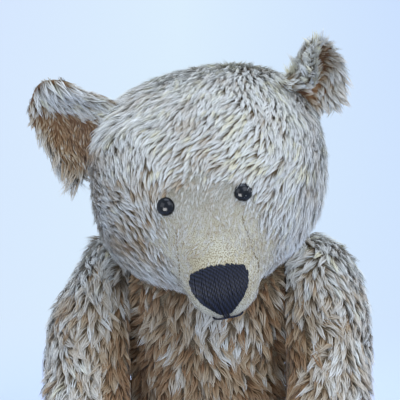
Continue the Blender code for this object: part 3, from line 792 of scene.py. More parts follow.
# Yellowed spots and, where the change is negative, darker spots of painted shade, seen the same way: across
# and up, radius, change of tint
headStainsAndShade = [
    (15, 23, 4, 0.25), (13, -3, 4, 0.25), (29, 1, 5, 0.25), (56, -2, 5, 0.2), (-64, 4, 8, -0.3),
    (-67, 9, 5, -0.4), (-44, -24, 15, -0.22), (-46, -44, 15, -0.22), (-30, -60, 12, -0.12), (50, 30, 9, -0.1),
    (15, 62, 25, 0.06), (-62, -14, 9, -0.25), (-50, -6, 8, -0.2), (-28, 6, 5, -0.2), (-10, 22, 5, -0.2),
    (-16, -11, 4, -0.45), (-32, -13, 4, -0.5), (-25, -15, 4, -0.4), (17, -9, 4, -0.35)]
headPile = {
    **lockStyle, "spacing": 1.8, "strands": 16, "variants": 6, "length": 12.5, "lift": 2.9, "width": 0.4,
    "spread": 2.3, "clump": 0.88, "wave": 0.35, "kinks": 1.0, "bend": 1.4, "yaw": 0.14, "pitch": 0.07,
    "tintSpread": 0.3, "combSpread": 6.0, "fuzzAngle": 37.0, "tint": 0.74}
headWear = {
    "edge": ((3.0, 16, 1.3), (1.5, 5, 2.1)), "swirl": ((0.28, 24, 0.4), (0.16, 9, 3.3)),
    "tint": ((0.10, 30, 5.0), (0.05, 8, 6.0)), "low": 0.10, "neck": 0.15, "rightCheek": 10, "brow": 0.35}
seamGroove = {"depth": 0.45, "width": 1.3, "perDegree": math.pi / 180 * 66}  # mm
muzzleDown = 10.0  # how far the muzzle points below the head's level, in degrees
muzzleFuzz = {
    **lockStyle, "spacing": 1.0, "strands": 5, "variants": 4, "length": 4.2, "lift": 0.8, "width": 0.22,
    "spread": 1.2, "clump": 0.4, "wave": 0.3, "kinks": 0.6, "bend": 0.6, "pitch": 0.05, "tintSpread": 0.3,
    "tint": 0.6}


def makeHeadCover():
    bm = bmesh.new()
    bmesh.ops.create_icosphere(bm, subdivisions=5, radius=1.0)
    muzzleWay = headDirections(np.array([-muzzleDown]), np.array([0.0]))[0]
    near = {edge for face in bm.faces for edge in face.edges
            if face.calc_center_median().normalized().dot(Vector(muzzleWay)) > 0.72}
    bmesh.ops.subdivide_edges(bm, edges=list(near), cuts=1, use_grid_fill=True)
    bmesh.ops.triangulate(bm, faces=[face for face in bm.faces if len(face.verts) > 3])
    directions = unit(np.array([vert.co for vert in bm.verts]))
    faces = [[vert.index for vert in face.verts] for face in bm.faces]
    bm.free()
    surface = onHead(directions)
    aside = np.degrees(np.arcsin(np.clip(directions[:, 0], -1, 1)))
    turn = np.degrees(np.arctan2(directions[:, 2], -directions[:, 1])) % 360
    turn = np.where(turn > 296, turn - 360, turn)
    places = np.array(gussetOutline, float)
    edge = np.interp(turn, places[:, 0], places[:, 1])
    fromSeam = (np.abs(aside) - edge) * seamGroove["perDegree"]  # about millimetres
    fromSeam = np.where(turn > gussetOutline[-1][0], 30, fromSeam)
    groove = seamGroove["depth"] * mm * np.exp(-(fromSeam / seamGroove["width"]) ** 2)
    surface = surface - headNormals(surface) * groove[:, None]
    points = moved(headFrame, surface)
    inNeck = moved(neckFrame.inverted(), points)
    inNeck[:, 2] = np.maximum(inNeck[:, 2], seamGap / 2)
    points = moved(neckFrame, inNeck)
    cover = newPiece("head_cover", points, faces, [backingMaterial])
    turnOutwards(cover)
    pinned = (np.abs(fromSeam) < 1.5) | (inNeck[:, 2] < seamGap) | (directions @ muzzleWay > 0.75)
    inNeck = moved(neckFrame.inverted(), softened(cover, pinned))
    inNeck[:, 2] = np.maximum(inNeck[:, 2], seamGap / 2)
    points = moved(neckFrame, inNeck)
    movePoints(cover, points)

    # worn bare round the nose and, in a narrower strip, up to between the eyes
    fromMuzzle = np.degrees(np.arccos(np.clip(directions @ muzzleWay, -1, 1)))
    rise, fuzzAngle = turn + muzzleDown, headPile["fuzzAngle"]
    upward = np.where((rise > 0) & (rise < 120), np.hypot(rise * 0.6, aside), 180)
    ragged = np.minimum(fromMuzzle, upward) + mottle(points, headWear["edge"])
    ragged += headWear["rightCheek"] * ease(-aside, 10, 22) * ease(12 - turn, 0, 15)  # less worn there
    bareness = (1 - ease(ragged, fuzzAngle - 1, fuzzAngle + 6)) * (1 - 0.45 * ease(turn, 12, 40))
    weaveFrom(cover, np.stack([np.radians(aside), np.radians(turn)], 1) * 80 * mm)

    normals = meshPoints(cover, "normal")
    fromSkull = points - np.array(skullCentre)
    seenX, seenUp = fromSkull[:, 0] / mm, fromSkull @ np.array(viewUp) / mm
    guides = np.array(headCombs, float)
    apart = (seenX[:, None] - guides[:, 0]) ** 2 + (seenUp[:, None] - guides[:, 1]) ** 2
    weights = np.exp(-apart / (2 * headPile["combSpread"] ** 2)) + 1e-7 / (1 + apart)
    ways = np.radians(guides[:, 2])
    wayX, wayUp = weights @ np.cos(ways), weights @ np.sin(ways)
    front = unit(wayX[:, None] * np.array([1.0, 0, 0]) + wayUp[:, None] * np.array(viewUp))
    facing = normals @ np.array(viewBack)
    front += np.outer(np.clip(-np.sum(front * normals, axis=1) / np.maximum(facing, 0.3), -1, 1), viewBack)
    behind = [[0.0, 0.35, -1.0]] + 4 * fromSkull * [1, 0, 0]
    behind = behind - np.outer(ease(fromSkull[:, 2], 0, 30 * mm), [0.7, 0, 0])
    mix = ease(facing, -0.6, -0.25)[:, None]
    combing = onCloth(unit(front) * mix + unit(behind) * (1 - mix), normals)
    combing = turned(combing, normals, mottle(points, headWear["swirl"]))

    pile = np.interp(ragged, [fuzzAngle - 6, fuzzAngle + 4, 62, 80], [0.3, 0.6, 0.85, 1.0])
    fromNeck = inNeck[:, 2] / mm
    pile *= np.interp(fromNeck, [0, 12, 30], [0.25, 0.6, 1.0])
    tint = headPile["tint"] + mottle(points, headWear["tint"])
    tint -= headWear["low"] * ease(-seenUp, 25, 60) + headWear["neck"] * (1 - ease(fromNeck, 0, 25))
    blotchy = 1 + waver(points, 7 * mm, 1.0)
    # yellowed spots, and painted shade where the change is negative
    for x, up, radius, change in headStainsAndShade:
        tint += change * np.exp(-((seenX - x) ** 2 + (seenUp - up) ** 2) / radius ** 2) * blotchy
    growth = ease(ragged, fuzzAngle - 5, fuzzAngle + 3) * (inNeck[:, 2] > 1.5 * mm)
    for side, _ in sides:  # kept short round each eye, and falling over its upper edge
        eye = moved(headFrame, [np.array([side, 1, 1]) * inMetres("eye")])[0]
        fromEye = points - eye
        under = fromEye @ np.array(viewUp) < 0
        away = lengths(fromEye)
        growth *= ease(away, np.where(under, 4.5, 1.5) * mm, np.where(under, 7.5, 3.5) * mm)
        flow = unit(np.sum(combing[away < 9 * mm], axis=0)[None])[0]
        fromBrow = lengths(fromEye + flow * 9 * mm)
        growth = np.maximum(growth, 1 - ease(fromBrow, 4 * mm, 7 * mm))
        pile += headWear["brow"] * np.exp(-(fromBrow / (6 * mm)) ** 2)
    paint(cover, bare=bareness, comb=combing, pile=pile, tint=np.clip(tint, 0, 1))
    panels = {"gusset": fromSeam < 0, "left": (fromSeam >= 0) & (aside > 0),
              "right": (fromSeam >= 0) & (aside <= 0)}
    fuzz = ease(ragged, 8, 22) * (1 - ease(ragged, 42, 48)) * (inNeck[:, 2] > 1.5 * mm)
    return cover, growth, panels, fuzz


headCover, headGrowth, headPanels, headFuzz = makeHeadCover()
headPiles = [growPile(f"head_pile_{word}", headCover, headPile, 31 + index, cover=headGrowth * panel)
             for index, (word, panel) in enumerate(headPanels.items())]
headPiles.append(growPile("muzzle_fuzz", headCover, muzzleFuzz, 37, cover=headFuzz, pile=1.0,
                          tint=muzzleFuzz["tint"]))
print("head covered")


noseForm = {  # top to tip: angle below the head's level and half width, in degrees; the rest in mm
    "outline": [(-0.5, 12.4), (-3.5, 13.2), (-7.5, 12.2), (-11.5, 9.2), (-14.5, 5.4), (-17.5, 2.2)],
    "arch": 2.0, "droop": 5.0, "threads": 42, "radius": 0.45, "lift": 1.3, "swell": 0.35, "tuck": 0.9,
    "rows": 24, "columns": 21, "under": 0.1, "root": -0.6, "inset": (0.4, 0.5), "margin": 0.3}
mouthForm = {  # angles in degrees, and millimetres
    "top": -16.8, "low": -20.8, "corner": (-20.6, -3.6, 6.3), "strands": (-0.9, 0, 0.9), "radius": 0.55,
    "lift": 1.1, "cornerLift": 0.9, "tuck": 0.7}
seamForm = {  # angles in degrees, then millimetres
    "from": -15.0, "to": 22.0, "pitch": 2.1, "stitch": 1.5, "uneven": (0.2, 0.4), "radius": 0.3, "sunk": 0.7}


def makeEye(side, word):
    aim = np.array([side, 1, 1]) * inMetres("eye") - inMetres("core")
    point = onHead(unit(aim[None]))
    facing = Vector(headNormals(point)[0]).to_track_quat("Z", "Y").to_matrix().to_4x4()
    radius, dome = headForm["eyeRadius"], headForm["eyeDome"]
    profile = [*headForm["eyeShank"], (radius * 0.7, -2.5)]
    for angle in range(-30, 90, 6):
        lean = math.radians(angle)
        profile.append((radius * math.cos(lean), headForm["eyeSet"] + dome * math.sin(lean)))
    profile.append((0, headForm["eyeSet"] + dome))
    bm = bmesh.new()
    verts = [bm.verts.new((away * mm, 0, up * mm)) for away, up in profile]
    edges = [bm.edges.new(pair) for pair in zip(verts, verts[1:])]
    bmesh.ops.spin(bm, geom=verts + edges, axis=(0, 0, 1), cent=(0, 0, 0), angle=math.tau, steps=40,
                   use_merge=True)
    bmesh.ops.remove_doubles(bm, verts=bm.verts, dist=0.001 * mm)
    bmesh.ops.recalc_face_normals(bm, faces=bm.faces)
    bm.transform(headFrame @ Matrix.Translation(point[0]) @ facing)
    mesh = bpy.data.meshes.new(f"eye_button_{word}")
    bm.to_mesh(mesh)
    bm.free()
    mesh.materials.append(buttonMaterial)
    mesh.shade_smooth()
    return addObject(mesh.name, mesh)


eyes = {word: makeEye(side, word) for side, word in sides}
noseOutline = np.array(noseForm["outline"], float)


def nosePlaces(turns, asides, lift):
    # the top of the nose arches up in its middle and droops at its sides
    share = (turns - noseOutline[-1, 0]) / (noseOutline[0, 0] - noseOutline[-1, 0])
    rise = noseForm["arch"] - noseForm["droop"] * (asides / noseOutline[:, 1].max()) ** 2
    return headPoints(turns + rise * np.clip(share, 0, 1), asides, lift)


def makeNose():
    high, wide = noseForm["rows"], noseForm["columns"]
    top, low = noseOutline[0, 0], noseOutline[-1, 0]
    insetUp, insetAside = noseForm["inset"]
    layers = []
    for lift in (noseForm["lift"] - noseForm["under"], noseForm["root"]):
        for turn in np.linspace(top - insetUp, low + insetUp, high):
            half = np.interp(-turn, -noseOutline[:, 0], noseOutline[:, 1]) - insetAside
            layers.append(nosePlaces(np.full(wide, turn), np.linspace(-half, half, wide), lift))
    base = padPatch("nose_base", *np.array(layers).reshape(2, high, wide, 3), threadMaterial)

    turns = np.linspace(top, low, 120)
    halves = np.interp(-turns, -noseOutline[:, 0], noseOutline[:, 1])
    widest = noseOutline[:, 1].max() - noseForm["margin"]
    lines = []
    for aside in np.linspace(-widest, widest, noseForm["threads"]):
        inside = turns[halves >= abs(aside)]
        start, end = inside.max() + randoms.uniform(-0.3, 0.3), inside.min() - randoms.uniform(0, 0.5)
        shares = np.linspace(0, 1, 13)
        lift = noseForm["lift"] + noseForm["swell"] * np.sin(np.pi * shares) ** 0.4
        lift -= noseForm["tuck"] * (np.abs(shares - 0.5) > 0.47)
        wander = randoms.uniform(-0.15, 0.15) * np.sin(np.pi * shares)
        lines.append(nosePlaces(start + (end - start) * shares, aside * (1 - 0.05 * shares) + wander, lift))
    return base, sew("nose_stitches", lines, noseForm["radius"], threadMaterial, 8)


def makeMouth():
    turns = np.linspace(mouthForm["top"], mouthForm["low"], 5)
    lines = [headPoints(turns, np.full(len(turns), aside), mouthForm["lift"])
             for aside in mouthForm["strands"]]
    middle, fall, reach = mouthForm["corner"]
    shares = np.linspace(0, 1, 8)
    lift = mouthForm["cornerLift"] - mouthForm["tuck"] * (shares > 0.9)
    for side, _ in sides:
        lines.append(headPoints(middle + fall * shares, side * reach * shares, lift))
    return sew("mouth_stitches", lines, mouthForm["radius"], threadMaterial, 8)


def makeMuzzleSeams():
    places = np.array(gussetOutline, float)
    along, aside = seamForm["uneven"]
    shares = np.linspace(0, 1, 5)
    lift = seamForm["sunk"] * (np.sin(np.pi * shares) - 1)
    lines = []
    for side, _ in sides:
        for turn in np.arange(seamForm["from"], seamForm["to"], seamForm["pitch"]):
            turns = turn + seamForm["stitch"] * shares + randoms.uniform(-along, along)
            asides = np.interp(turns, places[:, 0], places[:, 1]) + randoms.uniform(-aside, aside)
            lines.append(headPoints(turns, side * asides, lift))
    return sew("muzzle_seams", lines, seamForm["radius"], seamMaterial)


noseBase, noseStitches = makeNose()
mouthStitches = makeMouth()
muzzleSeams = makeMuzzleSeams()
print("eyes, nose and mouth sewn")


earForm = {"cup": 11.0, "lift": 2.2, "sewn": 0.95, "thickness": 1.6, "gap": 0.2}  # millimetres
# For each ear, the seam's two ends and the way out are directions in the head's frame. The edge nearer
# the crown rolls forward by the fold's degrees; the pile's length, paleness and lie follow below it.
earForms = {
    "left": {"top": (0.68, 0.42, 0.6), "low": (0.86, 0.42, 0.28), "way": (0.66, 0.3, 0.69), "height": 35.0,
             "halfWidth": 23.5, "round": (2.0, 2.0), "fold": 120.0, "rolled": (0.25, 0.75), "stand": 1.0,
             "flap": 0.05, "flapWay": (-0.8, 0.5), "inside": (0.2, 0.5), "pale": 0.36, "length": 0.7,
             "fringe": 0.4, "along": 0.4, "lie": 0.0},
    "right": {"top": (-0.577, 0.55, 0.603), "low": (-0.903, 0.389, 0.18), "way": (-0.89, 0.3, 0.33),
              "height": 46.0, "halfWidth": 29.0, "round": (3.5, 1.35), "fold": 20.0, "rolled": (0.3, 0.8),
              "stand": 0.3, "flap": -0.05, "flapWay": (-0.3, -2.2), "inside": (0.8, 0.97), "pale": 0.22,
              "length": 0.5, "fringe": 1.1, "along": 1.2, "lie": 1.0}}
earPile = {
    **lockStyle, "spacing": 1.8, "strands": 14, "length": 10.5, "lift": 2.6, "width": 0.38, "spread": 1.9,
    "clump": 0.75, "wave": 0.5, "kinks": 0.9, "bend": 1.8, "yaw": 0.25, "pitch": 0.15, "tintSpread": 0.35}
earNap = {
    **lockStyle, "spacing": 1.15, "strands": 5, "variants": 4, "length": 6.0, "lift": 1.3, "width": 0.55,
    "spread": 1.2, "clump": 0.5, "wave": 0.3, "kinks": 0.6, "bend": 0.8, "tintSpread": 0.5}
earWear = {  # tints of the long pile, then of the nap inside the ear, and its shortest pile
    "tint": 0.2, "mottle": 0.08, "behind": 0.2, "flap": 0.3,
    "napMottle": 0.06, "napEdge": 0.25, "napLow": 0.22, "napPile": 0.9}


def earSheet(form, size):
    # the ear's middle layer in the head's frame: rows of points from the seam at one end to the other
    top, low, way = unit(np.array([form["top"], form["low"], form["way"]]))
    first, last = onHead(np.array([top, low]))
    across = last - first
    across = unit((across - way * (across @ way))[None])[0]
    middle = onHead(unit((top + low)[None]))[0]
    back = np.cross(across, way)
    back = back if back[1] > 0 else -back
    shares, rises = np.linspace(-form["sewn"], form["sewn"], 41), np.linspace(0, 1, 17)
    ways = unit(top * (1 - shares[:, None]) / 2 + low * (1 + shares[:, None]) / 2)
    seam = onHead(ways)
    base = seam + headNormals(seam) * size["lift"]
    power = np.where(shares < 0, *form["round"])
    arch = (1 - np.abs(shares) ** power) ** (1 / power)
    rim = middle + across * (size["halfWidth"] * shares)[:, None] + way * (size["height"] * arch)[:, None]
    hollow = size["cup"] * (1 - shares ** 2)[:, None] * np.sin(np.pi * rises * 0.85)
    sheet = base[:, None] * (1 - rises[:, None]) + rim[:, None] * rises[:, None] + hollow[..., None] * back
    # the edge nearer the crown has rolled forward over the cup
    centre = len(shares) // 2
    rolled = ease(-shares[:centre], *form["rolled"])[:, None] * ease(rises, 0.1, 0.6)
    roll = math.radians(form["fold"]) * rolled
    step = sheet[:centre] - sheet[1:centre + 1]
    aside, front = step @ across, -(step @ back)
    rolledAside = aside * np.cos(roll) + front * np.sin(roll)
    rolledFront = front * np.cos(roll) - aside * np.sin(roll)
    step = step + (rolledAside - aside)[..., None] * across - (rolledFront - front)[..., None] * back
    sheet[:centre] = sheet[centre] + np.cumsum(step[::-1], axis=0)[::-1]
    return sheet, np.meshgrid(shares, rises, indexing="ij"), (across, way, back)


def makeEar(side, word):
    form = {**earForm, **earForms[word]}
    size = {key: form[key] * mm for key in ("halfWidth", "height", "cup", "lift", "thickness", "gap")}
    sheet, (shareGrid, riseGrid), (across, outWay, back) = earSheet(form, size)
    flow = np.gradient(sheet, axis=1)
    slope = np.cross(np.gradient(sheet, axis=0), flow)
    slope = slope / np.linalg.norm(slope, axis=2, keepdims=True)
    slope = slope if np.sum(slope @ back) > 0 else -slope
    half = size["thickness"] + size["gap"] / 2
    rounding = np.sqrt(np.clip(1 - np.clip(riseGrid * 8 - 7, 0, 1) ** 2, 0.04, 1))[..., None]
    layers = [moved(headFrame, (sheet + slope * half * rounding * way).reshape(-1, 3)) for way in (-1, 1)]
    verts = np.concatenate(layers)
    high, wide = shareGrid.shape
    count = high * wide
    faces = sheetFaces(high, wide)
    sort = [0, 1] * ((high - 1) * (wide - 1))
    sort += [1] * (len(faces) - len(sort))
    ear = newPiece(f"ear_{word}_cloth", verts, faces, [earMaterial, backingMaterial])
    ear.data.polygons.foreach_set("material_index", sort)
    turnOutwards(ear, merge=False)
    flat = np.stack([shareGrid, riseGrid], -1).reshape(-1, 2) * [size["halfWidth"], size["height"]]
    weaveFrom(ear, np.concatenate([flat, flat]))

    share, rise = np.tile(shareGrid.ravel(), 2), np.tile(riseGrid.ravel(), 2)
    behind = np.repeat([0.0, 1.0], count)
    normals, points = meshPoints(ear, "normal"), meshPoints(ear)
    headTurned = np.array(headFrame.to_3x3())
    outer = np.tile(unit((flow.reshape(-1, 3)) @ headTurned.T), (2, 1))
    lowEnd, edge = ease(share, 0.2, 0.9), ease(rise, 0.6, 0.95)
    flap = (1 - behind) * (1 - ease(share, form["flap"] - 0.35, form["flap"]))
    stand = (form["stand"] * (1 - 0.8 * ease(share, -0.2, 0.8)) * (1 - 0.6 * flap))[:, None]
    flapWay = across * form["flapWay"][0] + outWay * form["flapWay"][1]
    fan = outer * stand + (1 - stand) * [0, -0.2, -1.0] + np.outer(form["along"] * edge, headTurned @ across)
    fan += np.outer(1.2 * flap, headTurned @ flapWay)
    fan -= np.outer(0.6 * form["lie"] * (1 - edge), headTurned @ outWay)
    combing = onCloth(fan, normals)
    combing = turned(combing, normals, 0.3 * waver(points, 14 * mm, 1.0 + side))
    inner = (1 - behind) * (1 - ease(rise, 0.8, 0.97)) * (1 - flap) * (1 - ease(share, *form["inside"]))
    fringe = form["fringe"] * lowEnd * ease(rise, 0.3, 0.9)
    height = form["length"] + 0.15 * edge + 0.55 * flap + fringe
    mottled = waver(points, 10 * mm, 2.0)
    paler = form["pale"] + earWear["behind"] * behind + earWear["flap"] * flap
    tint = earWear["tint"] + earWear["mottle"] * mottled + (1 - inner) * paler
    pile = growPile(f"ear_{word}_pile", ear, earPile, 51 + side, bare=0.0, comb=combing, cover=1 - inner,
                    pile=height, tint=np.clip(tint, 0, 1))
    tint = earWear["napMottle"] * mottled + earWear["napEdge"] * ease(rise, 0.7, 0.95)
    tint += earWear["napLow"] * lowEnd
    nap = growPile(f"ear_{word}_nap", ear, earNap, 57 + side, cover=inner,
                   pile=earWear["napPile"] + 0.3 * ease(share, 0, 0.8), tint=np.clip(tint, 0, 1))
    return ear, (pile, nap)


ears = {word: makeEar(side, word) for side, word in sides}
print("ears made")


bodySections = [  # millimetres from the seat up: height, half width, front, back
    (0, 3, -3, 3), (0, 28, -26, 26), (1.5, 40, -36, 34), (12, 53, -46, 43), (35, 59, -52, 48),
    (70, 57, -52, 47), (110, 54, -47, 45), (150, 57, -41, 47), (178, 61, -36, 48), (200, 53, -32, 39),
    (214, 32, -25, 26), (222, 5, -9, 3)]
bodyForm = {"rows": 78, "around": 96, "back": 4.0}  # how far its middle lies behind the hips, in mm
bodyHalfWidth = shoulderPivot.x - seamGap
bodyWearAndLight = {  # tints, with painted light down the chest's middle below the chin, then how much shorter the pile is and how it swirls
    "tint": 0.02, "mottle": ((0.1, 34, 3.0),), "back": 0.1, "chest": 0.48, "chestMiddle": 5.0,
    "chestWidth": 24.0, "joint": 0.6, "side": 0.6, "swirl": ((0.5, 40, 2.2), (0.3, 14, 0.7))}
jointReach = {"arm": 24 * mm, "leg": 30 * mm}  # how far the discs press the cloths together
floorRoom = 0.4 * mm  # what the pile keeps clear of the floor
bodyPile = {
    **lockStyle, "spacing": 3.3, "strands": 16, "length": 13.0, "lift": 3.6, "width": 0.65, "spread": 3.0,
    "clump": 0.8, "wave": 0.9, "kinks": 1.0, "bend": 2.5, "yaw": 0.35, "pitch": 0.16, "tintSpread": 0.5}


def belowNeck(points):
    return (np.array(neckPivot) - points) @ np.array(neckAxis)


def makeBodyCover():
    steps = np.linspace(0, len(bodySections) - 1, bodyForm["rows"])
    angles = np.linspace(0, math.tau, bodyForm["around"], endpoint=False)
    heights, halves, fronts, backs = through(bodySections, steps).T[:, :, None]
    x = np.clip(halves * np.cos(angles) * mm, -bodyHalfWidth, bodyHalfWidth)
    y = np.where(np.sin(angles) > 0, backs, -fronts) * np.sin(angles) * mm
    slant = math.radians(headForm["pitch"])
    top = neckPivot.z + (y + hipPivot.y - neckPivot.y) * math.tan(slant) - seamGap / 2 / math.cos(slant)
    z = np.maximum(np.minimum(heights * mm, top), 0)
    rows = np.stack([x, y + hipPivot.y + bodyForm["back"] * mm, z], -1)
    cover = closedSkin("body_cover", rows, [backingMaterial])
    points = meshPoints(cover)
    aside = np.abs(points[:, 0])
    pinned = (aside < 1.5 * mm) | (belowNeck(points) < 1.5 * mm) | (points[:, 2] < 1 * mm)
    points = softened(cover, pinned | (aside > bodyHalfWidth - 0.5 * mm))
    points[:, 0] = np.clip(points[:, 0], -bodyHalfWidth, bodyHalfWidth)
    points[:, 2] = np.maximum(points[:, 2], 0)
    points += np.outer(np.minimum(belowNeck(points) - seamGap / 2, 0), neckAxis)
    movePoints(cover, points)
    normals, aside, below = meshPoints(cover, "normal"), np.abs(points[:, 0]), belowNeck(points) / mm
    around = np.arctan2(points[:, 0], -points[:, 1] + hipPivot.y)
    weaveFrom(cover, np.stack([around * 50 * mm, points[:, 2]], 1))
    outwards = np.sign(points[:, 0]) * ease(aside, bodyHalfWidth - 14 * mm, bodyHalfWidth - 1 * mm)
    combing = onCloth([[0.001, 0.3, -1.0]] + np.outer(0.9 * outwards, [1, 0, 0]), normals)
    combing = turned(combing, normals, mottle(points, bodyWearAndLight["swirl"]))
    fromNeck = points - np.array(neckPivot)
    combing = onCloth(combing + 1.5 * (1 - ease(below, 1, 8))[:, None] * unit(fromNeck), normals)
    atJoint = 1 - ease(below, 1, 10)
    sideways = ease(aside, bodyHalfWidth - 1.5 * mm, bodyHalfWidth - 0.2 * mm)
    flatSide, offFloor = aside > bodyHalfWidth - 0.4 * mm, points[:, 2] > 2.5 * mm
    tint = bodyWearAndLight["tint"] + mottle(points, bodyWearAndLight["mottle"])
    tint += bodyWearAndLight["back"] * ease(points[:, 1], 0.03, 0.09)
    # painted light: paler down the chest's middle below the chin, against the head's shadow
    chest = ease(hipPivot.y - points[:, 1], 0, 20 * mm) * ease(points[:, 2], 110 * mm, 185 * mm)
    fromMiddle = (points[:, 0] - bodyWearAndLight["chestMiddle"] * mm) / (bodyWearAndLight["chestWidth"] * mm)
    tint += bodyWearAndLight["chest"] * chest * np.exp(-fromMiddle ** 2)
    hair = growPile("body_pile", cover, bodyPile, 61, bare=0.0, comb=combing, tint=np.clip(tint, 0, 1),
                    pile=(1 - bodyWearAndLight["joint"] * atJoint) * (1 - bodyWearAndLight["side"] * sideways),
                    cover=(below > 1.5) * ~flatSide * offFloor)
    hidden = lengths(fromNeck) < jointReach["arm"]
    for kind, pivot in (("arm", shoulderPivot), ("leg", hipPivot)):
        hidden |= flatSide & (lengths(points[:, 1:] - np.array(pivot)[1:]) < jointReach[kind])
    nap = growPile("body_nap", cover, jointNap, 63, pile=1.0,
                   cover=(flatSide | (below < 1.5)) * ~hidden * offFloor)
    for pile in (hair, nap):
        liftPoints(pile, floorRoom)
    return cover, (hair, nap)


bodyCover, bodyHair = makeBodyCover()
print("body covered")


armSections = [  # millimetres from the joint: height, middle and half width across, middle and half depth
    (32, 12, 4, 0, 4), (29, 12, 13, 0, 15), (19, 12, 25, 0, 25), (0, 15, 30, 0, 29),
    (-25, 18, 31, 0, 28), (-55, 21, 27, -1, 25), (-85, 22.5, 23.5, -5, 22), (-112, 22, 21, -12, 20),
    (-132, 21, 20, -20, 20.5), (-147, 21, 15, -28, 16), (-153, 21, 4, -31, 5)]
slackShoulder = [
    (32, 11, 3, 0, 4), (29, 11, 8, 0, 13), (19, 11.5, 14, 0, 22), (0, 14, 22, 0, 27), (-25, 18, 28.5, 0, 28)]
legSections = [
    (32, 22, 4, 0, 4), (29, 21, 17, 0, 16), (19, 19, 31, 0, 27), (0, 20, 36, 0, 33),
    (-30, 22, 35, 0, 32), (-65, 26, 28, 1, 28), (-98, 25.5, 23, 2, 24), (-118, 25.5, 23, -2, 27),
    (-132, 25.5, 25, -8, 38), (-142, 25.5, 25.5, -14, 46), (-147, 25.5, 25.5, -14, 46)]
limbs = {
    "arm": {"sections": armSections, "pivot": shoulderPivot, "swing": -42.0, "rows": 66, "around": 64,
            "spacing": 2.75, "tint": 0.46},
    "leg": {"sections": legSections, "pivot": hipPivot, "swing": -90.0, "rows": 66, "around": 72,
            "spacing": 3.5, "tint": 0.44}}
limbPile = {
    **lockStyle, "strands": 16, "length": 13.0, "lift": 3.4, "width": 0.58, "spread": 2.8, "clump": 0.85,
    "wave": 0.6, "kinks": 0.9, "bend": 2.0, "pitch": 0.16, "tintSpread": 0.38}
limbWearShadeAndLight = {  # mottling, painted shade against the body, painted light over the top, how much shorter the pile is and how it swirls
    "mottle": ((0.16, 28, 4.0),), "inside": 0.6, "top": 0.22, "joint": 0.45,
    "swirl": ((0.6, 32, 1.0), (0.35, 13, 0.0))}
pawPad = {  # the section it starts at and the points along and across, then millimetres
    "start": 7.0, "points": 30, "top": -104.0, "edge": 22.0, "lifts": (0.9, -0.8)}
footPad = {"around": 64, "inset": 0.4, "bulge": 1.6, "rounding": 0.9, "depth": 1.2}  # millimetres
jointOverlap = 2.2 * mm  # how far a limb's pile may reach over the body's side
cheekRoom = 3.0 * mm  # what a raised arm's pile leaves to the cloth of the cheek


def limbPlace(kind, side):
    pivot, swing = limbs[kind]["pivot"], math.radians(limbs[kind]["swing"])
    return Matrix.Translation((side * pivot.x, pivot.y, pivot.z)) @ Matrix.Rotation(swing, 4, "X")


def limbGrid(sections, steps, angles, side, lift=0.0):
    heights, middles, halves, middleYs, depths = through(sections, steps).T[:, :, None]
    x = np.maximum(middles + (halves + lift) * np.cos(angles), 0)
    y = middleYs + (depths + lift) * np.sin(angles)
    return np.stack([side * x, y, np.broadcast_to(heights, x.shape)], -1) * mm


